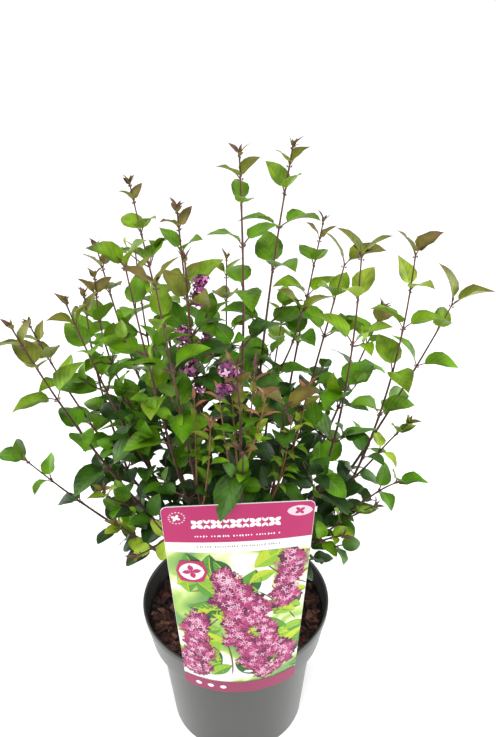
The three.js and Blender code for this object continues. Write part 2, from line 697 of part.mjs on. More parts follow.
function foliageSolid(mass) {
  const rods = mass.stems.map((stem) =>
    toSolid(rodGeometry(stem.curve, stem.from, 1, stem.foot, TIP_RADIUS, STEM_SIDES, stem.steps)));
  const leaves = mass.leaves.map(leafSolid);
  const florets = mass.florets.map(floretSolid);
  return largest(wasm.Manifold.union([...rods, ...leaves, ...florets]));
}

// ---------------------------------------------------------------- the object

const lilac = new THREE.Group();

function addNode(name, geometry, material) {
  const mesh = new THREE.Mesh(geometry, material);
  mesh.name = name;
  lilac.add(mesh);
  return mesh;
}

addNode("pot", potGeometry(), POT_GREY);
addNode("soil", soilGeometry(), BARK_CHIPS);
addNode("card", cardGeometry(), CARD_PRINT).rotation.z = radians(CARD_BEARING);
addNode("trunk", trunkGeometry(0), BARK);

const trunkSpace = toSolid(trunkGeometry(GAP));
const crown = planCrown();
crown.forEach((mass) => addNode(`bough_${mass.name}`, toGeometry(boughSolid(mass, trunkSpace)), BARK));
crown.forEach((mass) => addNode(`foliage_${mass.name}`, drawApart(toGeometry(foliageSolid(mass))), FOLIAGE));

export default lilac;
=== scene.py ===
# A young lilac bush in its nursery pot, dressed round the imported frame. The crown is grown again by the rule
# of the frame's source and carried on to finer twigs, smaller leaves, buds and blossom.

import math

import bpy
import numpy as np
from mathutils import Matrix, Vector


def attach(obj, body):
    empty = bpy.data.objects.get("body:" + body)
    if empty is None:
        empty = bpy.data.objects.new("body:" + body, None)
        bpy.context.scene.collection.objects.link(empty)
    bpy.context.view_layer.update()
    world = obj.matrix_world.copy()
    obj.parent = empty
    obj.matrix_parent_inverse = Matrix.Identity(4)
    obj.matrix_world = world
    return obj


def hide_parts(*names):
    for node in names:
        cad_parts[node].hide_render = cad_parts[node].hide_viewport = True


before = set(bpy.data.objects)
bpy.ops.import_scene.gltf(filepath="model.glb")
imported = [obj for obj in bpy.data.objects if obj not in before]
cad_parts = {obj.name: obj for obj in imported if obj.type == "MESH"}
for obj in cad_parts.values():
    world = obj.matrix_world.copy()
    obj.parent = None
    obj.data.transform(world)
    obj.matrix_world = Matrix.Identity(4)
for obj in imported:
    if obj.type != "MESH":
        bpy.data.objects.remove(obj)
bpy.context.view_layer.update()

# Lengths below are millimetres, as in the frame's source, and angles degrees. Meshes are made in metres.
MM = 0.001

# ---------------------------------------------------------------- the frame's sizes

GAP = 0.3
RIM_RADIUS, RIM_HEIGHT = 95, 155
COLLAR_LOW, COLLAR_LOW_RADIUS = 115, 88
BODY_TOP_RADIUS, BASE_RADIUS = 80, 69
WALL, FLOOR_THICKNESS = 2.2, 3
LEDGE = COLLAR_LOW + WALL
SOIL_TOP = 134

CARD_FOOT, CARD_TOP = 119, 366
CARD_FOOT_WIDTH, CARD_TOP_WIDTH = 112, 126
CARD_THICKNESS, CARD_GAP = 0.8, 0.42
CARD_CORNER, CARD_LEAN, CARD_BEARING = 6, 0.045, 3.2

TRUNK_HEIGHT, TRUNK_RADIUS, TRUNK_LEAN = 46, 13, 4
FLARE_RADIUS, FLARE_LOBES, FLARE_LOBE_DEPTH = 24, 5, 0.12

RING_HEIGHTS = (150, 160, 171)
RING_REACHES = (4, 6, 8.5)
RING_RADII = (3.4, 3.2, 2.8)
TIP_RADIUS, TWIG_RADIUS = 0.7, 1.0
SWAY, TANGENT_STEP = 5, 0.001

LEAF_LENGTH, LEAF_WIDTH = 41, 23
LEAF_FOLD, LEAF_DROOP = 0.22, 0.14
LEAF_SEAT, LEAF_SAG, LEAF_LEVEL = 0.35, 0.12, 1
POINTED_SCALES = (0.36, 0.58, 0.8, 0.95, 1)
BLUNT_SCALES = (0.88, 0.76, 0.9, 1)
PAIR_ANGLES = (26, 44, 58, 66)
BLUNT_ANGLES = (42, 55, 60, 66)
TIP_INSET, FIRST_SPACING, BLUNT_SPACING = 1.5, 16, 27
SPACING_GROWTH, LARGEST_SPACING = 8, 46
SPACING_LOW, SPACING_HIGH = 0.85, 1.15
SCALE_LOW, SCALE_HIGH = 0.86, 1.1
SMALL_BELOW, LARGE_ABOVE, SMALLEST, LARGEST = 280, 430, 0.8, 1.14
FIRST_TURN_SPREAD, TURN_SPREAD, ANGLE_SPREAD = 22, 12, 7
POINTED_TURN = 62
CLEARANCES = (4.4, 5.8)  # of places of the same mass, and of others
LEAF_POINTS = np.array([
    [0.25, 0], [0.5, 0], [0.75, 0], [1, 0],
    [0.35, 0.6], [0.35, -0.6], [0.55, 0.85], [0.55, -0.85], [0.75, 0.45], [0.75, -0.45],
])
TURNS = (0, 30, -30, 60, -60)
POINT_SPACING, MARGIN = 5, 7
CARD_SPACE_BACK, CARD_SPACE_FRONT = 76, 116
FIRST_SEED, GOLDEN_TURN = 83, 137.5

HEART_HEIGHT, HEART_FOOT, HEART_FLARE, HEART_SPACING = 385, 74, 0.26, 28
TWIG_CHANCE, TWIG_SHORTEST, TWIG_LONGEST = 0.95, 24, 50
TWIG_ANGLE, TWIG_TURN, TWIG_KNEE, TWIG_CLEAR_FROM = 52, 25, (0.6, 0.4), 0.3
TWIG_PAIRS = ((0.97, 40, 0.64), (0.55, 60, 0.76))

FLORET_RADIUS, FLORETS_IN_TRUSS = 4.4, 5
FLORETS_FROM, FLORET_SEAT, TRUSS_OUT, TRUSS_UP = 0.35, 0.9, 0.6, 0.8

# Name, ring, bearing of the bough's seat, split, and the shoots: bearing, reach and height of the tip, the
# knee's shares out and up, then the fork's share (None on the leading shoot) and whether it is blunt.
MASSES = (
    ("low_left", 0, 192, 0.33,
     ((187, 184, 347, 0.55, 0.5, None, True), (207, 116, 300, 0.6, 0.6, 0.36, False))),
    ("far_left", 1, 200, 0.33,
     ((200, 176, 503, 0.62, 0.45, None, False), (212, 128, 350, 0.7, 0.4, 0.45, False))),
    ("left", 0, 155, 0.33,
     ((163, 192, 442, 0.6, 0.45, None, False), (171, 125, 490, 0.8, 0.35, 0.5, False))),
    ("left_upright", 2, 172, 0.3,
     ((189, 132, 503, 0.6, 0.42, None, False), (159, 126, 495, 0.75, 0.4, 0.5, False))),
    ("back_left", 1, 143, 0.33,
     ((139, 165, 495, 0.6, 0.42, None, False), (144, 102, 513, 0.6, 0.4, 0.46, False))),
    ("back_left_tall", 2, 130, 0.3, ((129, 142, 556, 0.45, 0.45, None, False),)),
    ("front_left", 1, 229, 0.33,
     ((222, 99, 556, 0.7, 0.4, None, True), (226, 116, 292, 0.6, 0.6, 0.36, False))),
    ("front_left_inner", 2, 246, 0.3, ((238, 96, 548, 0.7, 0.4, None, True),)),
    ("middle_left", 2, 206, 0.28,
     ((183, 39, 574, 0.7, 0.5, None, False), (234, 54, 551, 0.7, 0.4, 0.5, False))),
    ("middle", 2, 300, 0.28, ((289, 32, 628, 0.5, 0.5, None, False),)),
    ("middle_right", 2, 78, 0.28,
     ((30, 60, 614, 0.3, 0.5, None, False), (18, 64, 470, 0.7, 0.5, 0.45, True))),
    ("back_right", 1, 55, 0.33, ((57, 161, 507, 0.55, 0.4, None, False),)),
    ("right_upright", 2, 30, 0.33, ((31, 118, 497, 0.55, 0.42, None, True),)),
    ("front_right", 1, 341, 0.33, ((334, 112, 555, 0.95, 0.3, None, True),)),
    ("right", 0, 358, 0.33,
     ((0, 151, 534, 0.95, 0.3, None, True), (346, 150, 330, 0.6, 0.6, 0.36, True))),
    ("far_right", 1, 12, 0.33,
     ((17, 210, 456, 0.62, 0.4, None, True), (8, 165, 352, 0.6, 0.5, 0.42, False))),
    ("far_back_right", 0, 42, 0.33, ((37, 184, 426, 0.62, 0.5, None, False),)),
    ("low_right", 0, 294, 0.45,
     ((322, 120, 302, 0.5, 0.7, None, False), (337, 134, 316, 0.5, 0.6, 0.5, False))),
    ("front", 1, 281, 0.36,
     ((274, 100, 490, 0.7, 0.5, None, False), (276, 97, 410, 0.7, 0.4, 0.4, True))),
    ("front_right_inner", 2, 343, 0.36, ((306, 76, 428, 0.6, 0.45, None, True),)),
    ("back", 1, 97, 0.33, ((92, 140, 468, 0.6, 0.42, None, False),)),
    ("low_back_left", 0, 115, 0.36, ((114, 176, 412, 0.6, 0.45, None, False),)),
    ("low_back_right", 0, 78, 0.36, ((72, 174, 404, 0.6, 0.45, None, False),)),
)

# Masses of late growth have smaller leaves
LEAF_SIZES = {"front": 0.62}

# Mass, shoot, share of its length, bearing and length of each truss of blossom
TRUSSES = (
    ("middle_left", 1, 0.8, 20, 26), ("middle_left", 1, 0.6, 215, 22), ("middle_left", 1, 0.38, 250, 24),
    ("middle_left", 0, 0.68, 350, 28), ("front", 0, 0.93, 150, 24),
)

# ---------------------------------------------------------------- finer growth, in the scene only

FINE_CLEARANCES = (2.6, 3.2)
FINE_HEIGHT, FINE_CHANCE, FINE_LENGTHS = 376, 0.62, (18, 44)
FINE_PAIRS = ((0.97, 42, 0.54), (0.68, 58, 0.66), (0.4, 64, 0.7))
FINE_BEARINGS, FINE_ANGLES, FINE_TILTS, FINE_SIZES = (-35, 35), (-14, 14), (-8, 8), (0.8, 1.15)
FINE_TIP_FROM, FINE_TAKEN_FROM = 0.5, 0.3
FINE_TWIG_RADII, LATE_TWIG_RADII = (0.8, 0.5), (1.0, 0.5)
SPUR_HEIGHT, SPUR_REACH, SPUR_CHANCE, SPUR_LENGTHS = 500, 118, 0.95, (9, 22)
SPUR_PAIRS = ((0.95, 44, 0.58),)
FINE_SEED, LATE_SEED, LATE_SEED_STEP, TINT_SEED, TIP_SEED = 900, 600, 40, 4000, 7000
FLORETS_SHOWN, BUDS_SHOWN = 84, 21
STEM_SHOWN, SIDE_SHOOT_SHOWN, TIP_SHOWN = 1.55, 1.3, 0.6

# Mass, shoot and share that each late shoot leaves, its tip (x, y, z) and the size of its leaves
LATE_SHOOTS = (
    ("front", 0, 0.62, (20, -64, 464), 0.44), ("front", 0, 0.58, (1, -54, 466), 0.42),
    ("front_left_inner", 0, 0.42, (-15, -85, 430), 0.4), ("front_right_inner", 0, 0.6, (64, -48, 439), 0.42),
    ("front", 0, 0.66, (28, -88, 457), 0.4), ("front", 0, 0.52, (-8, -74, 452), 0.4),
    ("front_right_inner", 0, 0.55, (50, -70, 425), 0.36),
    ("front_left_inner", 0, 0.5, (-28, -70, 442), 0.36),
)
LATE_SPACING, LATE_ANGLES, LATE_SIZES = 11.5, (40, 56, 60, 64), (0.85, 1.15)
LATE_KNEE, LATE_SWAY, LATE_TAKEN_FROM, LATE_LEAFY = (0.7, 0.4), 2, 0.2, 0.75
# Towards a late shoot's tip the pairs stand closer together and the leaves are smaller
LATE_INSET, LATE_CLOSEST, LATE_WIDENING = 0.5, 0.4, 0.2
LATE_SMALLEST, LATE_GROWTH, LATE_LARGEST = 0.85, 0.1, 1.1

# The large leaf that hangs over the card's top edge: mass, shoot, share, direction, length and width
APRON_LEAF = ("front", 0, 0.68, (-0.3, -0.9, -0.32), 54, 25)
APRON_FALL, APRON_ANGLE, APRON_RANK = 1.05, 0.8, 5

# ---------------------------------------------------------------- colours, as seen on a screen

LEAF_TINTS = {
    "leaf_deep": (38, 66, 22), "leaf_dark": (58, 98, 20), "leaf_mid": (80, 128, 10),
    "leaf_fresh": (96, 142, 8), "leaf_bright": (114, 152, 14), "leaf_lime": (154, 180, 50),
    "leaf_olive": (118, 130, 34), "leaf_bronze": (120, 112, 44),
    "leaf_rust": (158, 106, 80), "leaf_plum": (102, 70, 64),
}
RIB_TINTS = {"rib_green": (112, 142, 56), "rib_dark": (58, 88, 42), "rib_red": (132, 92, 70)}
DEEP, DARK, MID, FRESH, BRIGHT, LIME, OLIVE, BRONZE, RUST, PLUM = range(10)
RIB_GREEN, RIB_DARK, RIB_RED, PETIOLE = range(10, 14)
# The midribs of the deep and dark leaves take rib_dark, the same painted shade as their blades
RIB_OF_TINT = np.array([RIB_DARK] * 2 + [RIB_GREEN] * 4 + [RIB_RED] * 4)
LEAF_BLUSHES = {
    "leaf_fresh": 0.1, "leaf_bright": 0.3, "leaf_lime": 0.35, "leaf_olive": 0.8, "leaf_bronze": 1.0,
}
BLUSH, UNDERSIDE, PETIOLE_TINT = (104, 66, 58), (128, 140, 84), (112, 76, 72)
TOP_HEIGHT, TOP_SCALE = 520, 0.86
# Light is 0 at the first height and reach together, and 1 more for each rise or spread beyond them.
# The leaf tints are dealt out by it: the deep and dark greens are painted shade low down and in the heart,
# the bright and lime ones painted light above
LIGHT_HEIGHT, LIGHT_RISE, LIGHT_REACH, LIGHT_SPREAD = 310, 165, 78, 170
BRONZED_ABOVE, LIME_FROM, TINT_SPREAD = 400, 1.6, 0.45


# ---------------------------------------------------------------- growth, by the rule of the frame's source

class Dice:
    """A run of numbers between 0 and 1 that is the same each time for the same seed."""

    def __init__(self, seed):
        self.state = seed

    def next(self):
        self.state = (self.state * 1664525 + 1013904223) % 2 ** 32
        return self.state / 2 ** 32

    def between(self, low, high):
        return low + (high - low) * self.next()


def unit(vector):
    return vector / np.linalg.norm(vector, axis=-1, keepdims=True)


def polar(bearing, reach, height):
    turn = math.radians(bearing)
    return np.array([reach * math.cos(turn), reach * math.sin(turn), height])


class Shoot:
    """(1-t)(1-t) foot + 2(1-t)t knee + t t tip, plus a full sine wave sideways, t being the share."""

    def __init__(self, foot, tip, out, up, sway=0.0):
        self.foot, self.tip, self.sway = foot, tip, sway
        self.knee = foot + (tip - foot) * np.array([out, out, up])
        self.side = unit(np.array([foot[1] - tip[1], tip[0] - foot[0], 0.0]))
        foot_half = np.linalg.norm(self.at(0.5) - self.at(0.0))
        self.length = foot_half + np.linalg.norm(self.at(1.0) - self.at(0.5))

    def at(self, share):
        t = np.asarray(share, float)[..., None]
        bend = (1 - t) ** 2 * self.foot + 2 * (1 - t) * t * self.knee + t ** 2 * self.tip
        return bend + self.side * self.sway * np.sin(2 * math.pi * t)

    def tangent(self, share):
        share = np.asarray(share, float)
        return unit(self.at(share + TANGENT_STEP) - self.at(share - TANGENT_STEP))

    def away(self, axis, turn):
        """The side vector, turned round the axis."""
        third = np.cross(self.side, axis)
        return self.side * math.cos(math.radians(turn)) + third * math.sin(math.radians(turn))

    def sideways_turn(self):
        """The turn at which a leaf at the tip points along X."""
        third = np.cross(self.side, self.tangent(1.0))
        return math.degrees(math.atan2(third[0], self.side[0]))

    def points(self, start, end):
        count = max(2, math.ceil(self.length * (end - start) / POINT_SPACING))
        return self.at(start + (end - start) * np.arange(count + 1) / count)


class Space:
    """The places that leaves and twigs have taken, and those that the card, pot and soil keep free."""

    def __init__(self):
        self.places, self.owners, self.stems = np.zeros((0, 3)), np.zeros(0, int), np.zeros(0, bool)
        self.lowest, self.highest = np.full(3, -np.inf), np.full(3, np.inf)

    def close(self):
        """Lets nothing more grow beyond the reach of what has grown."""
        self.lowest, self.highest = self.places.min(0), self.places.max(0)

    def take(self, points, owner, is_stem):
        self.places = np.concatenate([self.places, points])
        self.owners = np.concatenate([self.owners, np.full(len(points), owner)])
        self.stems = np.concatenate([self.stems, np.full(len(points), is_stem)])

    def is_outside(self, points):
        x, y, z = points.T
        beside_card = (abs(x) > CARD_TOP_WIDTH / 2 + MARGIN) | (z > CARD_TOP + MARGIN)
        clear_of_card = beside_card | (y > MARGIN - CARD_SPACE_BACK) | (y < -CARD_SPACE_FRONT)
        clear_of_pot = (z > RIM_HEIGHT + MARGIN) | (np.hypot(x, y) < COLLAR_LOW_RADIUS - MARGIN)
        free = clear_of_card & clear_of_pot & (z > SOIL_TOP + MARGIN)
        return bool(free.all()) and bool(((points >= self.lowest) & (points <= self.highest)).all())

    def is_free(self, points, owner, of_own=CLEARANCES[0], of_others=CLEARANCES[1]):
        if not self.is_outside(points):
            return False
        middle = points.mean(0)
        reach = np.linalg.norm(points - middle, axis=1).max() + of_others
        near = (abs(self.places - middle) < reach).all(1) & ~((self.owners == owner) & self.stems)
        if not near.any():
            return True
        apart = np.linalg.norm(self.places[near][:, None] - points, axis=2).min(1)
        return bool((apart > np.where(self.owners[near] == owner, of_own, of_others)).all())


def make_leaf(root, axis, away, angle, scale):
    """A leaf at a root, at an angle to the stem's axis, with its face turned towards the sky."""
    direction = axis * math.cos(math.radians(angle)) + away * math.sin(math.radians(angle))
    direction = unit(direction - np.array([0, 0, LEAF_SAG * scale]))
    normal = axis + np.array([0, 0, LEAF_LEVEL])
    normal = unit(normal - direction * (normal @ direction))
    return {
        "root": root + away * LEAF_SEAT, "direction": direction, "normal": normal,
        "across": np.cross(normal, direction), "length": LEAF_LENGTH * scale, "width": LEAF_WIDTH * scale,
        "angle": math.radians(angle),
    }


def leaf_points(leaf):
    along, across = LEAF_POINTS[:, :1], LEAF_POINTS[:, 1:]
    lift = abs(across) * LEAF_FOLD * leaf["width"] / 2 - LEAF_DROOP * along ** 2 * leaf["length"]
    return (leaf["root"] + leaf["direction"] * along * leaf["length"]
            + leaf["across"] * across * leaf["width"] / 2 + leaf["normal"] * lift)


def from_tip(values, k):
    return values[min(k, len(values) - 1)]


def in_heart(place):
    reach = HEART_FOOT + HEART_FLARE * (place[2] - RIM_HEIGHT)
    return place[2] < HEART_HEIGHT and math.hypot(place[0], place[1]) < reach


def add_pair(space, mass, curve, share, turn, angle, scale, rank, kind, clear=CLEARANCES):
    """Two leaves opposite each other; one that is in the way of something is turned, then left out."""
    root, axis = curve.at(share), curve.tangent(share)
    grown = 0
    mass["pairs"] += 1
    for opposite in (0, 180):
        for extra in TURNS:
            leaf = make_leaf(root, axis, curve.away(axis, turn + opposite + extra), angle, scale)
            points = leaf_points(leaf)
            if space.is_free(points, mass["index"], *clear):
                space.take(points, mass["index"], False)
                mass["leaves"].append(dict(leaf, rank=rank, kind=kind, pair=mass["pairs"]))
                grown += 1
                break
    return grown


def pair_shares(curve, start, first_spacing, dice):
    """Places of the pairs, close together at the tip and wider apart below it."""
    shares, distance = [], TIP_INSET
    while distance < curve.length * (1 - start) - FIRST_SPACING / 2:
        share = 1 - distance / curve.length
        widest = HEART_SPACING if in_heart(curve.at(share)) else LARGEST_SPACING
        spacing = min(first_spacing + SPACING_GROWTH * len(shares), widest)
        shares.append(share)
        distance += spacing * dice.between(SPACING_LOW, SPACING_HIGH)
    return shares


def side_twig(curve, share, turn, length, angle):
    """A twig at a share of a shoot, turned round it and held away from it by the angle."""
    root, axis, lean = curve.at(share), curve.tangent(share), math.radians(angle)
    tip = root + axis * length * math.cos(lean) + curve.away(axis, turn) * length * math.sin(lean)
    return Shoot(root, tip, *TWIG_KNEE)


def grow_twig(space, mass, curve, share, turn, dice):
    length, spin = dice.between(TWIG_SHORTEST, TWIG_LONGEST), dice.between(0, 90)
    twig = side_twig(curve, share, turn, length, TWIG_ANGLE)
    points = twig.points(TWIG_CLEAR_FROM, 1)
    if not (in_heart(twig.tip) and space.is_free(points, mass["index"])):
        return
    space.take(points, mass["index"], True)
    mass["twigs"].append((twig, TWIG_RADIUS, TIP_RADIUS))
    is_long = length > (TWIG_SHORTEST + TWIG_LONGEST) / 2
    for k, (place, angle, scale) in enumerate(TWIG_PAIRS[:2 if is_long else 1]):
        add_pair(space, mass, twig, place, spin + 90 * k, angle, scale, k, "twig")


def grow_fine_twig(space, mass, curve, share, turn, dice, lengths, pairs, kind):
    """A finer twig between the frame's own: it may stand closer to others, but has to gain a leaf."""
    length, spin = dice.between(*lengths), dice.between(0, 90)
    twig = side_twig(curve, share, turn, length, TWIG_ANGLE + dice.between(*FINE_ANGLES))
    if kind == "fine" and not in_heart(twig.tip):
        return
    if not space.is_free(twig.points(FINE_TIP_FROM, 1), mass["index"], *FINE_CLEARANCES):
        return
    grown = 0
    for k, (place, angle, scale) in enumerate(pairs):
        size, tilt = scale * dice.between(*FINE_SIZES), angle + dice.between(*FINE_TILTS)
        grown += add_pair(space, mass, twig, place, spin + 90 * k, tilt, size, k, kind, FINE_CLEARANCES)
    if grown:
        space.take(twig.points(FINE_TAKEN_FROM, 1), mass["index"], True)
        mass["twigs"].append((twig, *FINE_TWIG_RADII))


def plan_mass(index, plan):
    name, ring, seat_bearing, split, shoots = plan
    dice = Dice(FIRST_SEED + index)
    lean = TRUNK_LEAN * (RING_HEIGHTS[ring] - SOIL_TOP) / TRUNK_HEIGHT
    seat = polar(seat_bearing, RING_REACHES[ring], RING_HEIGHTS[ring]) + np.array([lean, 0, 0])
    curves = []
    for bearing, reach, height, out, up, fork, _ in shoots:
        foot = seat if fork is None else curves[0].at(fork)
        curves.append(Shoot(foot, polar(bearing, reach, height), out, up, dice.between(-SWAY, SWAY)))
    return {
        "name": name, "index": index, "ring": ring, "split": split, "dice": dice, "curves": curves,
        "blunt": [shoot[-1] for shoot in shoots], "stem_from": split + GAP / curves[0].length,
        "leaves": [], "twigs": [], "trusses": [], "nodes": [], "late": [], "pairs": 0,
    }


def grow_truss(space, mass, shoot, share, bearing, length):
    root = mass["curves"][shoot].at(share)
    stalk = Shoot(root, root + polar(bearing, length * TRUSS_OUT, length * TRUSS_UP), *TWIG_KNEE)
    seats = []
    for k in range(FLORETS_IN_TRUSS):
        place = FLORETS_FROM + (1 - FLORETS_FROM) * k / (FLORETS_IN_TRUSS - 1)
        away = stalk.away(stalk.tangent(place), GOLDEN_TURN * k)
        seats.append(stalk.at(place) + away * FLORET_RADIUS * FLORET_SEAT * (1 - place))
    mass["trusses"].append(stalk)
    space.take(np.array(seats), mass["index"], False)


def grow_pairs(space, mass):
    """The pairs of leaves on each shoot, larger and wider apart below the tip and high in the crown."""
    dice = mass["dice"]
    for i, (curve, blunt) in enumerate(zip(mass["curves"], mass["blunt"])):
        spread = dice.between(-FIRST_TURN_SPREAD, FIRST_TURN_SPREAD)
        first = curve.sideways_turn() + (0 if blunt else POINTED_TURN) + spread
        start, spacing = mass["stem_from"] if i == 0 else 0, BLUNT_SPACING if blunt else FIRST_SPACING
        for k, share in enumerate(pair_shares(curve, start, spacing, dice)):
            turn = first + 90 * k + dice.between(-TURN_SPREAD, TURN_SPREAD)
            tilt = dice.between(-ANGLE_SPREAD, ANGLE_SPREAD)
            growth = dice.between(SCALE_LOW, SCALE_HIGH) * LEAF_SIZES.get(mass["name"], 1)
            growth *= float(np.interp(curve.at(share)[2], (SMALL_BELOW, LARGE_ABOVE), (SMALLEST, LARGEST)))
            angle = from_tip(BLUNT_ANGLES if blunt else PAIR_ANGLES, k) + tilt
            scale = from_tip(BLUNT_SCALES if blunt else POINTED_SCALES, k) * growth
            add_pair(space, mass, curve, share, turn, angle, scale, k, "blunt" if blunt else "pointed")
            mass["nodes"].append((curve, share, turn, k))


def plan_crown():
    """The frame's crown: shoots and trusses first, then pairs of leaves, then twigs in the crown's heart."""
    space = Space()
    masses = [plan_mass(index, plan) for index, plan in enumerate(MASSES)]
    for mass in masses:
        for curve in mass["curves"]:
            space.take(curve.points(0, 1), mass["index"], True)
    for name, *truss in TRUSSES:
        grow_truss(space, next(mass for mass in masses if mass["name"] == name), *truss)
    for mass in masses:
        grow_pairs(space, mass)
    for mass in masses:
        dice = mass["dice"]
        for curve, share, turn, _ in mass["nodes"]:
            for opposite in (0, 180):
                lucky = dice.next() < TWIG_CHANCE
                if lucky and in_heart(curve.at(share)):
                    grow_twig(space, mass, curve, share, turn + opposite + TWIG_TURN, dice)
    return masses, space


def grow_finer(masses, space):
    """Finer twigs low in the crown's heart, and short leafy spurs on the shoots above it."""
    space.close()
    for mass in masses:
        dice = Dice(FINE_SEED + mass["index"])
        for curve, share, turn, rank in mass["nodes"]:
            place = curve.at(share)
            is_low = in_heart(place) and place[2] < FINE_HEIGHT
            is_near = rank > 1 and place[2] < SPUR_HEIGHT and math.hypot(place[0], place[1]) < SPUR_REACH
            for opposite in (0, 180):
                luck, bearing = dice.next(), turn + opposite + dice.between(*FINE_BEARINGS)
                if is_low and luck < FINE_CHANCE:
                    kind = (FINE_LENGTHS, FINE_PAIRS, "fine")
                elif is_near and luck < SPUR_CHANCE:
                    kind = (SPUR_LENGTHS, SPUR_PAIRS, "spur")
                else:
                    continue
                grow_fine_twig(space, mass, curve, share, bearing, dice, *kind)


def grow_late(masses, space):
    """Late shoots between the others with close pairs of small leaves, and the large leaf in front."""
    named = {mass["name"]: mass for mass in masses}
    for name, shoot, share, tip, size in LATE_SHOOTS:
        mass = named[name]
        dice = Dice(LATE_SEED + len(mass["late"]) * LATE_SEED_STEP + mass["index"])
        foot = mass["curves"][shoot].at(share)
        late = Shoot(foot, np.array(tip, float), *LATE_KNEE, dice.between(-LATE_SWAY, LATE_SWAY))
        space.take(late.points(LATE_TAKEN_FROM, 1), mass["index"], True)
        mass["late"].append((late, *LATE_TWIG_RADII))
        first = dice.between(0, 90)
        for k in range(int(LATE_LEAFY * late.length / LATE_SPACING)):
            spacing = LATE_SPACING * k * min(LATE_CLOSEST + LATE_WIDENING * k, 1)
            place = 1 - (LATE_INSET + spacing) / late.length
            scale = size * min(LATE_SMALLEST + LATE_GROWTH * k, LATE_LARGEST) * dice.between(*LATE_SIZES)
            angle = from_tip(LATE_ANGLES, k)
            add_pair(space, mass, late, place, first + 90 * k, angle, scale, k, "late", FINE_CLEARANCES)
    name, shoot, share, direction, length, width = APRON_LEAF
    mass = named[name]
    direction = unit(np.array(direction))
    normal = unit(np.array([0, 0, 1.0]) - direction * direction[2])
    mass["pairs"] += 1
    leaf = {"root": mass["curves"][shoot].at(share), "direction": direction, "normal": normal,
            "across": np.cross(normal, direction), "length": length, "width": width, "angle": APRON_ANGLE,
            "rank": APRON_RANK, "kind": "apron", "pair": mass["pairs"]}
    space.take(leaf_points(leaf), mass["index"], False)
    mass["leaves"].append(leaf)


crown, taken = plan_crown()
grow_late(crown, taken)
grow_finer(crown, taken)


# ---------------------------------------------------------------- meshes from whole arrays

def grid_faces(count, rows, columns, closed=False):
    """Four-cornered faces of many grids of rows by columns points; closed joins their sides."""
    r, c = np.meshgrid(np.arange(rows - 1), np.arange(columns if closed else columns - 1), indexing="ij")
    n = (c + 1) % columns
    one = np.stack([r * columns + c, (r + 1) * columns + c, (r + 1) * columns + n, r * columns + n], -1)
    return (np.arange(count)[:, None, None] * rows * columns + one.reshape(1, -1, 4)).reshape(-1, 4)


def tube_faces(count, rows, columns, finish=0):
    """The walls and flat ends of many closed tubes; finish is a number for all or one for each ring."""
    finish = np.broadcast_to(finish, (count, rows))
    foot = np.arange(columns)
    ends = np.stack([foot, (rows - 1) * columns + foot[::-1]])
    caps = (np.arange(count)[:, None, None] * rows * columns + ends).reshape(-1, columns)
    walls = grid_faces(count, rows, columns, closed=True)
    return [(walls, np.repeat(finish[:, :-1].ravel(), columns)), (caps, finish[:, [0, -1]].ravel())]


def add_object(name, data):
    added = bpy.data.objects.new(name, data)
    bpy.context.scene.collection.objects.link(added)
    return added


def make_piece(name, parts, materials, smooth=True):
    """Joins parts into one mesh. A part is its points, its pairs of faces and material numbers and, for
    leaves, the place of each point on the surface."""
    points, corners, sizes, finishes, places = [], [], [], [], []
    first = 0
    for part_points, face_sets, *surface in parts:
        for faces, finish in face_sets:
            corners.append((faces + first).ravel())
            sizes.append(np.full(len(faces), faces.shape[1]))
            finishes.append(np.broadcast_to(finish, len(faces)))
            places.append(surface[0].reshape(-1, 2)[faces.ravel()] if surface else np.zeros((faces.size, 2)))
        points.append(part_points.reshape(-1, 3))
        first += len(points[-1])
    points, corners, sizes = np.concatenate(points) * MM, np.concatenate(corners), np.concatenate(sizes)
    mesh = bpy.data.meshes.new(name)
    mesh.vertices.add(len(points))
    mesh.vertices.foreach_set("co", points.astype(np.float32).ravel())
    mesh.loops.add(len(corners))
    mesh.loops.foreach_set("vertex_index", corners.astype(np.int32))
    mesh.polygons.add(len(sizes))
    mesh.polygons.foreach_set("loop_start", np.concatenate([[0], np.cumsum(sizes)[:-1]]).astype(np.int32))
    mesh.polygons.foreach_set("material_index", np.concatenate(finishes).astype(np.int32))
    mesh.polygons.foreach_set("use_smooth", np.full(len(sizes), smooth))
    layer = mesh.uv_layers.new(name="surface")
    layer.uv.foreach_set("vector", np.concatenate(places).astype(np.float32).ravel())
    mesh.update(calc_edges=True)
    for material in materials:
        mesh.materials.append(material)
    piece = add_object(name, mesh)
    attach(piece, "root")
    return piece


def ripple(angle, along, seed, waves=5):
    """Relief between -1 and 1 over a tube: a sum of sines whose waves are closed round the axis."""
    rng = np.random.default_rng(seed)
    total = np.zeros(np.broadcast(angle, along).shape)
    for _ in range(waves):
        turns, rate, phase = rng.integers(1, 6), rng.uniform(0.3, 1.6), rng.uniform(0, 2 * math.pi)
        total = total + np.sin(turns * angle + rate * along + phase)
    return total / waves


def from_zero(steps):
    """The places that steps lead to, from 0 on."""
    return np.pad(np.cumsum(steps, 1), ((0, 0), (1, 0), (0, 0)))


def beside_of(axes):
    """A unit vector square to each axis."""
    helper = np.where(abs(axes[:, 2:]) > 0.9, np.array([1.0, 0, 0]), np.array([0, 0, 1.0]))
    return unit(np.cross(axes, helper))


def tube_part(centres, sides, tangents, radii, columns, finish, relief=0):
    """Closed tubes along many centre lines (tubes, rings, 3). A ring is centre + radius (side cos + third
    sin), third being side x tangent."""
    angle = 2 * math.pi * np.arange(columns) / columns
    sides = np.broadcast_to(sides, centres.shape)
    thirds = np.cross(sides, tangents)
    ring = sides[..., None, :] * np.cos(angle)[:, None] + thirds[..., None, :] * np.sin(angle)[:, None]
    points = centres[..., None, :] + ring * (radii[..., None] * (1 + relief))[..., None]
    return points, tube_faces(*centres.shape[:2], columns, finish)
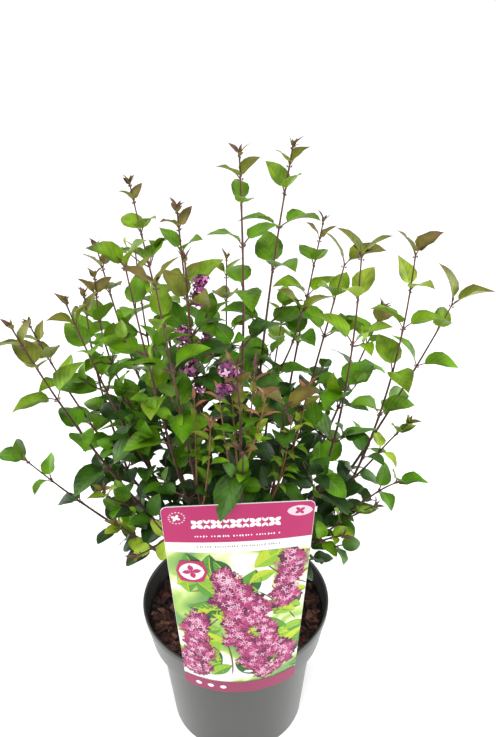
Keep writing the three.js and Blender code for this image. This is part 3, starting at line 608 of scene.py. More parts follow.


# ---------------------------------------------------------------- materials

# Painted light on a leaf's face: a painted highlight on the puffs between the side veins and painted shade
# towards the edges
VEIN_SLANT, VEIN_WAVES, PUFF_LIGHT, MIDDLE_LIGHT, EDGE_LIGHT = -0.75, 22.0, 0.16, 0.52, -1.5
BLUSH_EDGE, BLUSH_TIP, BLUSH_NOISE, BLUSH_LEVEL = 2.2, 1.7, 0.35, -0.95
EVEN = (1.0, 1.0, 1.0)
RELIEF = ("Scale", "Stretch", "Strength", "Distance")
SOCKET_KINDS = {name: "Color" for name in ("Low", "High", "Blush", "Color")} | {
    name: "Vector" for name in ("Stretch", "Normal")
}


def screen_colour(red, green, blue, gain=1.0):
    """A colour as it shows on a screen, from 0 to 255, made linear and scaled."""
    value = np.array([red, green, blue]) / 255
    linear = np.where(value <= 0.04045, value / 12.92, ((value + 0.055) / 1.055) ** 2.4)
    return (*np.clip(linear * gain, 0, 1).tolist(), 1.0)


def feed(tree, node, inputs):
    """Gives a node's inputs, by name or number, a value or what another node puts out."""
    for name, value in inputs.items():
        if isinstance(value, bpy.types.NodeSocket):
            tree.links.new(value, node.inputs[name])
        else:
            node.inputs[name].default_value = value
    return node


def add_node(tree, kind, inputs, **settings):
    node = tree.nodes.new(kind)
    for name, value in settings.items():
        setattr(node, name, value)
    return feed(tree, node, inputs)


def reckon(tree, operation, *values, clamp=False):
    inputs = dict(enumerate(values))
    return add_node(tree, "ShaderNodeMath", inputs, operation=operation, use_clamp=clamp).outputs[0]


def mixed(tree, factor, low, high):
    inputs = {"Factor": factor, "A": low, "B": high}
    return add_node(tree, "ShaderNodeMix", inputs, data_type="RGBA").outputs["Result"]


def soft_noise(tree, inputs, stretch=None):
    """Noise over the object's own coordinates, which may be stretched."""
    place = add_node(tree, "ShaderNodeTexCoord", {}).outputs["Object"]
    if stretch is not None:
        factors = {0: place, 1: stretch}
        place = add_node(tree, "ShaderNodeVectorMath", factors, operation="MULTIPLY").outputs[0]
    return add_node(tree, "ShaderNodeTexNoise", {"Vector": place, **inputs}).outputs["Fac"]


def bump(tree, height, given):
    inputs = {"Height": height, "Strength": given["Strength"], "Distance": given["Distance"]}
    return add_node(tree, "ShaderNodeBump", inputs).outputs["Normal"]


def new_group(name, inputs, outputs):
    """An empty node group with named sockets, what it is given, and the node that takes its result."""
    tree = bpy.data.node_groups.new(name, "ShaderNodeTree")
    for in_out, sockets in (("INPUT", inputs), ("OUTPUT", outputs)):
        for socket in sockets:
            kind = "NodeSocket" + SOCKET_KINDS.get(socket, "Float")
            tree.interface.new_socket(socket, in_out=in_out, socket_type=kind)
    return tree, tree.nodes.new("NodeGroupInput").outputs, tree.nodes.new("NodeGroupOutput")


def mottle_group():
    """Two colours mixed by a soft noise: the uneven colour of ribs, bark, petals and moulded plastic."""
    tree, given, result = new_group("mottle", ("Low", "High", "Scale", "Contrast"), ("Color",))
    centred = reckon(tree, "SUBTRACT", soft_noise(tree, {"Scale": given["Scale"], "Detail": 3}), 0.5)
    spread = reckon(tree, "MULTIPLY_ADD", centred, given["Contrast"], 0.5, clamp=True)
    feed(tree, result, {"Color": mixed(tree, spread, given["Low"], given["High"])})
    return tree


def grain_group():
    """A bump from fine noise, stretched by the input Stretch."""
    tree, given, result = new_group("grain", RELIEF, ("Normal",))
    height = soft_noise(tree, {"Scale": given["Scale"], "Detail": 4}, given["Stretch"])
    feed(tree, result, {"Normal": bump(tree, height, given)})
    return tree


def blade_group():
    """A leaf's face by its place on the blade. Side veins run forward from the midrib, with the blade puffed
    up between them. The colour lies between two, by a soft noise, with a painted highlight on the puffs and
    painted shade towards the edge, and turns to a blush towards the tip and the edges."""
    inputs = ("Low", "High", "Scale", "Contrast", "Strength", "Distance", "Blush", "Blush Share")
    tree, given, result = new_group("blade", inputs, ("Color", "Normal"))
    place = add_node(tree, "ShaderNodeUVMap", {}, uv_map="surface").outputs["UV"]
    parts = add_node(tree, "ShaderNodeSeparateXYZ", {0: place}).outputs
    beside = reckon(tree, "ABSOLUTE", reckon(tree, "SUBTRACT", parts["X"], 0.5))
    slant = reckon(tree, "MULTIPLY_ADD", beside, VEIN_SLANT, parts["Y"])
    puff = reckon(tree, "ABSOLUTE", reckon(tree, "SINE", reckon(tree, "MULTIPLY", slant, VEIN_WAVES)))
    centred = reckon(tree, "SUBTRACT", soft_noise(tree, {"Scale": given["Scale"], "Detail": 2}), 0.5)
    spread = reckon(tree, "MULTIPLY", centred, given["Contrast"])
    highlighted = reckon(tree, "MULTIPLY_ADD", puff, PUFF_LIGHT, reckon(tree, "ADD", spread, MIDDLE_LIGHT))
    edge = reckon(tree, "MULTIPLY", beside, beside)
    light = reckon(tree, "MULTIPLY_ADD", edge, EDGE_LIGHT, highlighted, clamp=True)
    colour = mixed(tree, light, given["Low"], given["High"])
    level = reckon(tree, "MULTIPLY_ADD", spread, BLUSH_NOISE, BLUSH_LEVEL)
    outward = reckon(tree, "MULTIPLY_ADD", edge, BLUSH_EDGE, level)
    turned = reckon(tree, "MULTIPLY_ADD", parts["Y"], BLUSH_TIP, outward, clamp=True)
    blush = reckon(tree, "MULTIPLY", turned, given["Blush Share"])
    blushed = mixed(tree, blush, colour, given["Blush"])
    feed(tree, result, {"Color": blushed, "Normal": bump(tree, puff, given)})
    return tree


MOTTLE, GRAIN, BLADE = mottle_group(), grain_group(), blade_group()


def place_group(tree, group, inputs):
    return add_node(tree, "ShaderNodeGroup", inputs, node_tree=group).outputs


def new_material(name, values):
    material = bpy.data.materials.new(name)
    material.use_nodes = True
    tree = material.node_tree
    return material, tree, feed(tree, tree.nodes["Principled BSDF"], values)


def make_material(name, colour, scale, shades=(0.78, 1.18), contrast=2.0, rough=0.6, grain=None, coat=0.0,
                  specular=0.5, sheen=0.0):
    """Two shades of a colour in a mottle; grain is the scale, stretch, strength and distance of a relief."""
    material, tree, shader = new_material(name, {
        "Roughness": rough, "Coat Weight": coat, "Coat Roughness": 0.3, "Specular IOR Level": specular,
        "Sheen Weight": sheen})
    low, high = (screen_colour(*colour, gain=shade) for shade in shades)
    mottle = place_group(tree, MOTTLE, {"Low": low, "High": high, "Scale": scale, "Contrast": contrast})
    feed(tree, shader, {"Base Color": mottle["Color"]})
    if grain is not None:
        relief = place_group(tree, GRAIN, dict(zip(RELIEF, grain)))
        feed(tree, shader, {"Normal": relief["Normal"]})
    return material


def make_materials(tints, scale, **looks):
    return [make_material(name, colour, scale, **looks) for name, colour in tints.items()]


def make_leaf_material(name, colour):
    """A leaf's face in a darker and a lighter shade of its colour, which the blade mixes over a soft noise as
    painted shade at the edges and a painted highlight on the puffs, and a duller, paler underside.
    """
    material, tree, shader = new_material(name, {"Roughness": 0.4, "Specular IOR Level": 0.22})
    face = place_group(tree, BLADE, {
        "Low": screen_colour(*colour, gain=0.42), "High": screen_colour(*colour, gain=1.45), "Scale": 60.0,
        "Contrast": 2.4, "Strength": 0.15, "Distance": 0.001, "Blush": screen_colour(*BLUSH),
        "Blush Share": LEAF_BLUSHES.get(name, 0.0)})
    behind = add_node(tree, "ShaderNodeNewGeometry", {}).outputs["Backfacing"]
    below = screen_colour(*[0.7 * own + 0.3 * other for own, other in zip(colour, UNDERSIDE)])
    feed(tree, shader, {"Base Color": mixed(tree, behind, face["Color"], below), "Normal": face["Normal"]})
    return material


leaf_finishes = [
    *[make_leaf_material(name, colour) for name, colour in LEAF_TINTS.items()],
    *make_materials(RIB_TINTS, 60, rough=0.55), make_material("petiole", PETIOLE_TINT, 120, rough=0.5),
]


# ---------------------------------------------------------------- leaves

STALK, STALK_HALF, STALK_DEPTH, RIB_HALF, TIP_HALF, MIDWAY = 0.21, 0.62, 1.5, 0.26, 0.1, 0.55
LEAF_ROWS = np.array([0, 0.1, STALK, 0.235, 0.31, 0.43, 0.57, 0.71, 0.84, 0.94, 1.0])
RISES, FALLS, DRIFTS, TWISTS = (0.55, 0.95), (0.15, 0.8), (-0.12, 0.12), (-0.55, 0.55)
FOLDS, DOMES, RUFFLES, RUFFLE_RATES = (0.4, 0.85), (0.12, 0.34), (0.05, 0.16), (9, 15)
# An old leaf rises and folds less than a young one and is fuller at both ends, and a leaf that is held
# close to its stem can't rise steeply
RISE_LOSS, FOLD_LOSS, RISE_BY_ANGLE, RISE_HELD, BEND_POWER = 0.3, 0.3, 1.6, 0.55, 0.8
FOOT_POWER, FOOT_FILLING, END_POWER, END_FILLING = 0.5, 0.06, 1.2, 0.42
RIB_TAPER, RIB_LARGEST_SHARE = 0.6, 0.6
# The tint below each level of light, from painted shade up to painted light
SHADES_BELOW = ((0.08, DEEP), (0.4, DARK), (0.74, MID), (1.15, FRESH))
SHADED_AGE, AGE_LOSS = 0.95, 0.7
YOUNG_WIDTH, WIDTH_BY_AGE = 0.9, 0.08
TOPMOST_LENGTH, TOPMOST_WIDTH = 0.75, 0.62
LATE_WIDTH, LATE_WIDTH_STEP, LATE_WIDEST = 0.42, 0.08, 0.66


def leaf_part(leaves, rng):
    """Leaves as grids of rows along and six columns across, the middle two being the midrib's edges. The
    centre line leaves the stem steeply and bends evenly over: its slope to the leaf's direction runs from
    rise at the foot to -fall at the tip. The half width is b^p (1-b)^q over its greatest value, b being the
    share of the blade. Each half stands up from the midrib like a half open book and bends down towards its
    edge."""
    def each(key):
        return np.array([leaf[key] for leaf in leaves])[:, None]

    def draw(low, high):
        return rng.uniform(low, high, (len(leaves), 1))

    root, direction, normal, across = each("root"), each("direction"), each("normal"), each("across")
    tint, age, u = each("tint"), each("age"), LEAF_ROWS[None]
    rise = np.minimum(draw(*RISES) * (1 - RISE_LOSS * age), RISE_BY_ANGLE * each("angle") - RISE_HELD)
    fall = draw(*FALLS)
    fall[[leaf.get("kind") == "apron" for leaf in leaves]] = APRON_FALL
    slope = rise - (rise + fall) * u ** BEND_POWER
    run, climb = np.cos(slope)[..., None], np.sin(slope)[..., None]
    along, lift = (
        from_zero((part[:, 1:] + part[:, :-1]) / 2 * np.diff(u)[..., None]) for part in (run, climb)
    )
    drift = (draw(*DRIFTS) * u ** 2)[..., None]
    centre = root + each("length")[..., None] * (direction * along + normal * lift + across * drift)
    up = normal * run - direction * climb
    twist = (draw(*TWISTS) * u)[..., None]
    beside = across * np.cos(twist) + up * np.sin(twist)
    up = up * np.cos(twist) - across * np.sin(twist)

    blade = np.clip((u - STALK) / (1 - STALK), 0, 1)
    p, q = FOOT_POWER - FOOT_FILLING * age, END_POWER - END_FILLING * age
    top = p / (p + q)
    half = blade ** p * (1 - blade) ** q / (top ** p * (1 - top) ** q) * each("width") / 2
    half = np.maximum(half, np.where(u <= STALK, STALK_HALF, TIP_HALF))
    rib = np.minimum(RIB_HALF * (1 - RIB_TAPER * blade), half * RIB_LARGEST_SHARE)
    offset = np.stack([-half, -half * MIDWAY, -rib, rib, half * MIDWAY, half], -1)
    half, u = half[..., None], u[..., None]
    share = abs(offset) / half
    fold = draw(*FOLDS)[..., None] * (1 - FOLD_LOSS * u * age[..., None])
    dome = draw(*DOMES)[..., None]
    ruffle = draw(*RUFFLES)[..., None] * np.sin(
        draw(*RUFFLE_RATES)[..., None] * u + draw(0, 6)[..., None] + np.sign(offset) * draw(0, 3)[..., None])
    height = half * (fold * share - dome * share ** 2 + ruffle * share ** 2)
    height = np.where(u <= STALK, half * STALK_DEPTH * share ** 2, height)
    points = centre[:, :, None] + beside[:, :, None] * offset[..., None] + up[:, :, None] * height[..., None]

    count, rows, columns = offset.shape
    finish = np.broadcast_to(tint[..., None], (count, rows - 1, columns - 1)).copy()
    finish[:, :, columns // 2 - 1] = RIB_OF_TINT[tint]
    finish[:, :2] = PETIOLE
    places = np.stack([0.5 + 0.5 * offset / half.max(1)[:, None], np.broadcast_to(u, offset.shape)], -1)
    return points, [(grid_faces(count, rows, columns), finish.ravel())], places


def tint_of(leaf, luck, spread):
    """A leaf's colour: painted shade makes it dark low down and in the heart, painted light bright above;
    bronze or olive near growing tips.
    """
    height, rank, kind = leaf["root"][2], leaf["rank"], leaf["kind"]
    reach = math.hypot(leaf["root"][0], leaf["root"][1])
    light = (height - LIGHT_HEIGHT) / LIGHT_RISE + (reach - LIGHT_REACH) / LIGHT_SPREAD
    leaf["age"] = float(np.clip(SHADED_AGE - light * AGE_LOSS, 0.0, 1.0))
    if kind == "late":
        young = (RUST, PLUM, RUST, BRONZE) if rank < 2 else (RUST, OLIVE, BRIGHT, LIME)
        return young[int(luck * 4)] if rank < 4 else FRESH
    if kind == "apron":
        return DARK
    if kind == "pointed" and rank < 3:
        young = ((PLUM, BRONZE, PLUM), (OLIVE, BRONZE, OLIVE), (OLIVE, FRESH, BRIGHT))
        low = ((LIME, LIME, OLIVE), (LIME, BRIGHT, LIME), (BRIGHT, FRESH, LIME))
        return (young if height > BRONZED_ABOVE else low)[rank][int(luck * 3)]
    if kind == "blunt" and rank == 0 and height > BRONZED_ABOVE:
        return (LIME, OLIVE, BRIGHT, BRONZE)[int(luck * 4)]
    for limit, tint in SHADES_BELOW:
        if light + spread < limit:
            return tint
    if height > TOP_HEIGHT:
        return OLIVE
    return BRIGHT if light + spread < LIME_FROM else LIME


def choose_tints(masses):
    """Deals out the leaf colours, the two leaves of a pair alike, and makes the youngest leaves slim."""
    for mass in masses:
        rng = np.random.default_rng(TINT_SEED + mass["index"])
        luck = rng.random(mass["pairs"] + 1)
        spread = rng.uniform(-TINT_SPREAD, TINT_SPREAD, mass["pairs"] + 1)
        for leaf in mass["leaves"]:
            leaf["tint"] = tint_of(leaf, luck[leaf["pair"]], spread[leaf["pair"]])
            topmost = leaf["kind"] == "pointed" and leaf["rank"] == 0
            if leaf["kind"] in ("pointed", "blunt"):
                leaf["width"] *= YOUNG_WIDTH + WIDTH_BY_AGE * leaf["age"]
                if leaf["root"][2] > TOP_HEIGHT:
                    leaf["width"] *= TOP_SCALE
                    leaf["length"] *= TOP_SCALE
            if topmost:
                leaf["length"] *= TOPMOST_LENGTH
                leaf["width"] *= TOPMOST_WIDTH
                leaf["age"] = 0.0
            elif leaf["kind"] == "late":
                leaf["width"] *= min(LATE_WIDTH + LATE_WIDTH_STEP * leaf["rank"], LATE_WIDEST)
                leaf["age"] = 0.0


choose_tints(crown)
all_leaves = [leaf for mass in crown for leaf in mass["leaves"]]
leaves = make_piece("leaves", [leaf_part(all_leaves, np.random.default_rng(5))], leaf_finishes)
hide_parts(*[f"foliage_{mass['name']}" for mass in crown])


# ---------------------------------------------------------------- buds and unfolding leaves at the tips

BUD_FROM, BUD_SPAN, BUD_POWER = 0.12, 0.86, 1.2
# Length and radius of the bud on a blunt shoot, on a pointed one and over a leaf
BLUNT_BUD, POINTED_BUD, SIDE_BUD = (4.0, 0.9), (6.0, 0.7), (2.4, 0.7)
END_BUD_FROM, OLDER_BUD_EXTRA, BUD_SEAT, BUD_LEAN = 0.995, 1.2, 1.2, 0.7
# Angles and size of the outer and the inner pair that unfold at a tip
UNFOLDING_PAIRS = (((20, 34), 0.33), ((8, 16), 0.22))
UNFOLDING_TURNS, UNFOLDING_SIZES = (-30, 30), (0.85, 1.15)
UNFOLDING_LIFT, UNFOLDING_WIDTH, PLUM_CHANCE = 0.15, 0.58, 0.6


def spindles_part(roots, axes, lengths, radii, finish):
    """Pointed buds: closed tubes whose radius swells and closes as a half sine to a power."""
    share = np.linspace(0, 1, 6)
    swell = np.sin(math.pi * (BUD_FROM + BUD_SPAN * share)) ** BUD_POWER
    centres = roots[:, None] + axes[:, None] * (share * lengths[:, None])[..., None]
    return tube_part(centres, beside_of(axes)[:, None], axes[:, None], swell * radii[:, None], 5, finish)


def collect_buds(masses):
    """The root, axis, length and radius of a bud at each shoot's end and of two over each pair of leaves."""
    found = []
    for mass in masses:
        for curve, blunt in zip(mass["curves"], mass["blunt"]):
            found.append((curve.at(END_BUD_FROM), curve.tangent(1.0), *(BLUNT_BUD if blunt else POINTED_BUD)))
        for curve, share, turn, rank in mass["nodes"]:
            for opposite in (0, 180):
                axis = curve.tangent(share)
                away = curve.away(axis, turn + opposite)
                length = SIDE_BUD[0] + OLDER_BUD_EXTRA * (rank > 2)
                root = curve.at(share) + away * BUD_SEAT
                found.append((root, unit(axis + away * BUD_LEAN), length, SIDE_BUD[1]))
    return [np.array(values) for values in zip(*found)]


def tip_leaves(masses):
    """Narrow unfolding leaves that stand close round the bud of each growing shoot."""
    found = []
    for mass in masses:
        dice = Dice(TIP_SEED + mass["index"])
        for curve, blunt in zip(mass["curves"], mass["blunt"]):
            axis, root = curve.tangent(1.0), curve.at(1.0)
            first = curve.sideways_turn() + dice.between(*UNFOLDING_TURNS)
            for k, turn in enumerate((0, 180) if blunt else (0, 180, 90, 270)):
                away = curve.away(axis, first + turn)
                angles, size = UNFOLDING_PAIRS[k // 2]
                angle = dice.between(*angles)
                leaf = make_leaf(root, axis, away, angle, size * dice.between(*UNFOLDING_SIZES))
                direction = unit(leaf["direction"] + np.array([0, 0, UNFOLDING_LIFT]))
                normal = unit(away - direction * (away @ direction)) * -1
                leaf.update(direction=direction, normal=normal, across=np.cross(normal, direction),
                            width=leaf["width"] * UNFOLDING_WIDTH, age=0.0,
                            tint=PLUM if dice.next() < PLUM_CHANCE else BRONZE)
                found.append(leaf)
    return found


bud_brown = make_material("bud_scales", (104, 72, 70), 400, rough=0.55)
buds = make_piece("buds", [spindles_part(*collect_buds(crown), 0)], [bud_brown])
unfolding_part = leaf_part(tip_leaves(crown), np.random.default_rng(8))
unfolding = make_piece("unfolding_leaves", [unfolding_part], leaf_finishes)


# ---------------------------------------------------------------- trunk, boughs, shoots and twigs

BARK_GRAIN = (260.0, (1.0, 1.0, 0.28), 0.5, 0.001)
LATE_BARK = 3
bark_finishes = [
    make_material("bark_old", (74, 56, 48), 190, (0.6, 1.3), 3.5, 0.85, BARK_GRAIN),
    make_material("bark_shoot", (84, 58, 50), 160, (0.75, 1.2), 3, 0.65, BARK_GRAIN, specular=0.25),
    make_material("bark_young", (104, 70, 64), 150, (0.85, 1.15), rough=0.5, specular=0.2),
    make_material("bark_late", (138, 100, 62), 150, (0.85, 1.15), rough=0.5, specular=0.2),
]
OLD_BELOW, YOUNG_FROM = 300, 440
NODE_REACH, NODE_SWELL, BARK_WAVES = 2.2, 0.35, 30
RIDGE_DEPTH, RIDGE_WAVES, FURROWS, FURROW_DEPTH, FURROW_TURN = 0.05, 14, 11, 0.03, 5
TRUNK_CAP_FROM, TRUNK_CAP_SPAN, TRUNK_CAP_LEAST = 0.86, 0.14, 0.02


def stem_part(curves, starts, ends, feet, tips, rows, columns, seed, relief, nodes=None, finish=None):
    """Tapering tubes along shoots, their bark in low ridges, with a swelling where each pair of leaves sits.
    Unless finish is given the bark is old below, then a shoot's, and this year's smooth skin at the top."""
    share = np.linspace(0, 1, rows)
    starts, ends, feet, tips = (
        np.broadcast_to(values, len(curves))[:, None] for values in (starts, ends, feet, tips)
    )
    places = starts + (ends - starts) * share
    centres = np.array([curve.at(place) for curve, place in zip(curves, places)])
    tangents = np.array([curve.tangent(place) for curve, place in zip(curves, places)])
    sides = np.array([curve.side for curve in curves])[:, None]
    radii = feet + (tips - feet) * share
    if nodes is not None:
        swelling = np.zeros_like(places)
        for i, (curve, found) in enumerate(zip(curves, nodes)):
            apart = (places[i][:, None] - np.array(found)[None]) * curve.length
            swelling[i] = np.exp(-(apart / NODE_REACH) ** 2).sum(1)
        radii = radii * (1 + NODE_SWELL * np.minimum(swelling, 1))
    angle = 2 * math.pi * np.arange(columns) / columns
    along = (share * BARK_WAVES)[None, :, None] + np.arange(len(curves))[:, None, None]
    bark = relief * ripple(angle[None, None], along, seed)
    if finish is None:
        heights = centres[..., 2]
        finish = np.where(heights < OLD_BELOW, 0, np.where(heights < YOUNG_FROM, 1, 2))
    return tube_part(centres, sides, tangents, radii, columns, finish, bark)


def trunk_part(rows=22, columns=40):
    """A tapering post with a lobed flare at its foot, leaning a little, its bark in long ridges; its top is
    rounded off among the boughs."""
    share = np.linspace(0, 1, rows)[:, None]
    angle = 2 * math.pi * np.arange(columns) / columns
    flare = (FLARE_RADIUS - TRUNK_RADIUS) * (1 - share) ** 3
    lobes = 1 + FLARE_LOBE_DEPTH * (1 - share) * np.cos(FLARE_LOBES * angle)
    ridges = RIDGE_DEPTH * ripple(angle[None], share * RIDGE_WAVES, 3)
    crease = 1 + ridges + FURROW_DEPTH * np.sin(FURROWS * angle[None] + FURROW_TURN * share)
    over = np.clip((share - TRUNK_CAP_FROM) / TRUNK_CAP_SPAN, 0, 1)
    cap = np.sqrt(np.clip(1 - over ** 2, TRUNK_CAP_LEAST, 1))
    radius = (TRUNK_RADIUS + flare) * lobes * crease * cap
    points = np.stack([
        np.cos(angle) * radius + TRUNK_LEAN * share, np.sin(angle) * radius,
        SOIL_TOP + GAP + share * TRUNK_HEIGHT + 0 * radius,
    ], -1)[:, ::-1]
    return points, tube_faces(1, rows, columns)


def twig_part(found, finish=None):
    curves, feet, tips = zip(*found)
    return stem_part(curves, 0, 1, feet, tips, 7, 5, 14, 0.05, finish=finish)


def nodes_on(curves):
    found = [node for mass in crown for node in mass["nodes"]]
    return [[share for own, share, _, _ in found if own is curve] for curve in curves]


splits = [mass["split"] for mass in crown]
ring_radii = [RING_RADII[mass["ring"]] for mass in crown]
leading = [mass["curves"][0] for mass in crown]
others = [curve for mass in crown for curve in mass["curves"][1:]]
limbs = make_piece("trunk_and_boughs", [
    trunk_part(), stem_part(leading, 0, splits, ring_radii, STEM_SHOWN, 26, 10, 11, 0.12),
], bark_finishes)
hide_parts("trunk", *[f"bough_{mass['name']}" for mass in crown])
shoots = make_piece("shoots", [
    stem_part(leading, splits, 1, STEM_SHOWN, TIP_SHOWN, 60, 8, 12, 0.06, nodes_on(leading)),
    stem_part(others, 0, 1, SIDE_SHOOT_SHOWN, TIP_SHOWN, 60, 8, 13, 0.06, nodes_on(others)),
], bark_finishes)
all_twigs = [twig for mass in crown for twig in mass["twigs"]]
late_twigs = [twig for mass in crown for twig in mass["late"]]
twigs = make_piece("twigs", [twig_part(all_twigs), twig_part(late_twigs, LATE_BARK)], bark_finishes)


# ---------------------------------------------------------------- blossom

PETAL_TINTS = {
    "petal_mauve": (172, 60, 140), "petal_pink": (210, 120, 184), "petal_purple": (98, 24, 78),
    "petal_pale": (232, 184, 214),
}
MAUVE, PINK, PURPLE, PALE, TRUSS_STALK, FLOWER_BUD = range(6)
blossom_finishes = [
    *make_materials(PETAL_TINTS, 300, rough=0.5, sheen=0.2), make_material("truss_stalk", (84, 58, 56), 200),
    make_material("flower_bud", (84, 34, 66), 300, rough=0.45),
]
FLORET_TINTS, FLORET_CHANCE = [MAUVE, MAUVE, PURPLE, PINK, PURPLE, PALE], 0.86
FLORET_LIFTS, FLORET_SPREADS, FLORET_RADII = (-0.6, 1.4), (2.6, 8.2), (2.3, 3.5)
FLORET_UPWARD, THROAT_BELOW, THROAT_RADII = 0.2, 0.2, (0.35, 0.5, 0.75)
PETAL_ROWS, PETAL_HALF, PETAL_CURL = np.array([0.08, 0.45, 0.8, 1.0])[:, None], 0.3, 0.12
PETAL_RISE, PETAL_BACK, PETAL_TWIST = 0.22, 0.5, 0.7
FLOWER_BUD_LENGTHS, FLOWER_BUD_RADII = (4, 7.5), (0.7, 1.2)
# Share along the stalk, distance from it and turn round it of each clump of a truss
CLUMPS = ((0.3, 7.5, 40), (0.55, 6.5, 200), (0.85, 3.5, 300))


def petals_part(centres, facings, radii, tints):
    """Four petals round each floret's mouth, every one a small grid: it widens as a sine along its length,
    its sides curl up and its end bends back."""
    first = beside_of(facings)
    second = np.cross(facings, first)
    turn = math.pi / 2 * np.arange(4)[None] + np.arange(len(centres))[:, None] * PETAL_TWIST
    out = first[:, None] * np.cos(turn)[..., None] + second[:, None] * np.sin(turn)[..., None]
    beside = np.cross(facings[:, None], out)
    u, v = PETAL_ROWS, np.array([-1.0, 0, 1.0])[None]
    half = PETAL_HALF * np.sin(math.pi * (0.15 + 0.75 * u))
    bend = PETAL_RISE * u - PETAL_BACK * u ** 2 + PETAL_CURL * v ** 2 * np.sin(math.pi * u)
    size = radii[:, None, None, None, None]
    points = (centres[:, None, None, None] + out[:, :, None, None] * (u + 0 * v)[..., None] * size
              + beside[:, :, None, None] * (half * v)[..., None] * size
              + facings[:, None, None, None] * bend[..., None] * size)
    return points, [(grid_faces(len(centres) * 4, 4, 3), np.repeat(tints, 4 * 6))]


def blossom_parts(masses):
    """Each truss: a stalk, florets of four petals on thin tubes round it, and closed buds among them."""
    rng = np.random.default_rng(21)
    stalks = [stalk for mass in masses for stalk in mass["trusses"]]
    florets, closed = [], []
    for stalk in stalks:
        for k in range(FLORETS_SHOWN + BUDS_SHOWN):
            share, aside, turn = CLUMPS[k % len(CLUMPS)]
            axis = stalk.tangent(share)
            root = stalk.at(share) + stalk.away(axis, turn) * aside
            away = stalk.away(axis, GOLDEN_TURN * k)
            facing = unit(away + axis * rng.uniform(*FLORET_LIFTS) + np.array([0, 0, FLORET_UPWARD]))
            spread = rng.uniform(*FLORET_SPREADS)
            if k < FLORETS_SHOWN and rng.random() < FLORET_CHANCE:
                florets.append((stalk.at(share - THROAT_BELOW), root + facing * spread, facing,
                                rng.uniform(*FLORET_RADII), rng.choice(FLORET_TINTS)))
            else:
                closed.append((root + facing, facing))
    starts, centres, facings, radii, tints = (np.array(values) for values in zip(*florets))
    bud_roots, bud_axes = (np.array(values) for values in zip(*closed))
    lines = starts[:, None] + (centres - starts)[:, None] * np.linspace(0, 1, 3)[:, None]
    return [
        petals_part(centres, facings, radii, tints),
        tube_part(lines, beside_of(facings)[:, None], facings[:, None],
                  np.broadcast_to(THROAT_RADII, (len(lines), 3)), 4, PURPLE),
        spindles_part(bud_roots, bud_axes, rng.uniform(*FLOWER_BUD_LENGTHS, len(bud_roots)),
                      rng.uniform(*FLOWER_BUD_RADII, len(bud_roots)), FLOWER_BUD),
        stem_part(stalks, 0, 1, 1.0, 0.5, 9, 6, 22, 0.05, finish=TRUSS_STALK),
    ]


blossom = make_piece("blossom", blossom_parts(crown), blossom_finishes)


# ---------------------------------------------------------------- pot

PLASTIC_GRAIN = (900.0, EVEN, 0.12, 0.0004)
pot_grey = make_material("pot_grey", (44, 47, 43), 14, (0.94, 1.05), 1.5, 0.3, PLASTIC_GRAIN, specular=0.6)
pot_inside = make_material("pot_inside", (30, 28, 27), 30, (0.7, 1.3), grain=PLASTIC_GRAIN)
POT_SIDES, MIDDLE = 144, 0.01
BEAD_HEIGHT, BEAD_STEP = 147, 0.9
FOOT_RING_FROM, FOOT_RING_TO, FOOT_RING_RISE = BASE_RADIUS - 9, BASE_RADIUS - 6, 1.4


def collar_radius(height):
    widening = (RIM_RADIUS - COLLAR_LOW_RADIUS) * (height - COLLAR_LOW)
    return COLLAR_LOW_RADIUS + widening / (RIM_HEIGHT - COLLAR_LOW)


# The corners of the wall's section, from the underside's middle to the floor's middle: radius, height and
# how far each one is rounded. The inside starts in the middle of the twelfth.
POT_CORNERS = (
    (MIDDLE, 0, 0), (FOOT_RING_FROM, 0, 0.6), (FOOT_RING_FROM, FOOT_RING_RISE, 0.6),
    (FOOT_RING_TO, FOOT_RING_RISE, 0.6), (FOOT_RING_TO, 0, 0.6), (BASE_RADIUS, 0, 1.6),
    (BODY_TOP_RADIUS, COLLAR_LOW, 0.8), (COLLAR_LOW_RADIUS, COLLAR_LOW, 1.6),
    (collar_radius(BEAD_HEIGHT), BEAD_HEIGHT, 0.6),
    (collar_radius(BEAD_HEIGHT) + BEAD_STEP, BEAD_HEIGHT + 1, 0.6),
    (RIM_RADIUS, RIM_HEIGHT, 1.2), (RIM_RADIUS - WALL - 0.2, RIM_HEIGHT, 0.9),
    (COLLAR_LOW_RADIUS - WALL, LEDGE, 1.2), (BODY_TOP_RADIUS - WALL, LEDGE, 1.2),
    (BASE_RADIUS - WALL, FLOOR_THICKNESS, 2.0), (MIDDLE, FLOOR_THICKNESS, 0),
)
LAST_OUTSIDE = 12


def rounded(corner, before, after, size):
    """Points of a rounded corner: a quadratic bend from one side of the corner to the other."""
    start, end = corner + unit(before - corner) * size, corner + unit(after - corner) * size
    t = np.linspace(0, 1, 5)[:, None]
    return (1 - t) ** 2 * start + 2 * (1 - t) * t * corner + t ** 2 * end


def turned(section, sides):
    """A section of radius and height carried round Z."""
    angle = -2 * math.pi * np.arange(sides) / sides
    radius, height = section[:, :1], section[:, 1:]
    return np.stack([radius * np.cos(angle), radius * np.sin(angle), height + 0 * radius * angle], -1)


def pot_part():
    """The wall's section with its corners rounded, turned round Z, the inside in its own material."""
    corners = np.array(POT_CORNERS, float)
    places, sizes = corners[:, :2], corners[:, 2]
    runs = [rounded(places[i], places[i - 1], places[i + 1], sizes[i]) for i in range(1, len(corners) - 1)]
    section = np.concatenate([places[:1], *runs, places[-1:]])
    inside = np.arange(len(section)) >= 1 + sum(len(run) for run in runs[:LAST_OUTSIDE - 1]) - 2
    return turned(section, POT_SIDES), tube_faces(1, len(section), POT_SIDES, inside * 1)


pot = make_piece("nursery_pot", [pot_part()], [pot_grey, pot_inside])
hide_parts("pot")


# ---------------------------------------------------------------- soil and bark chips

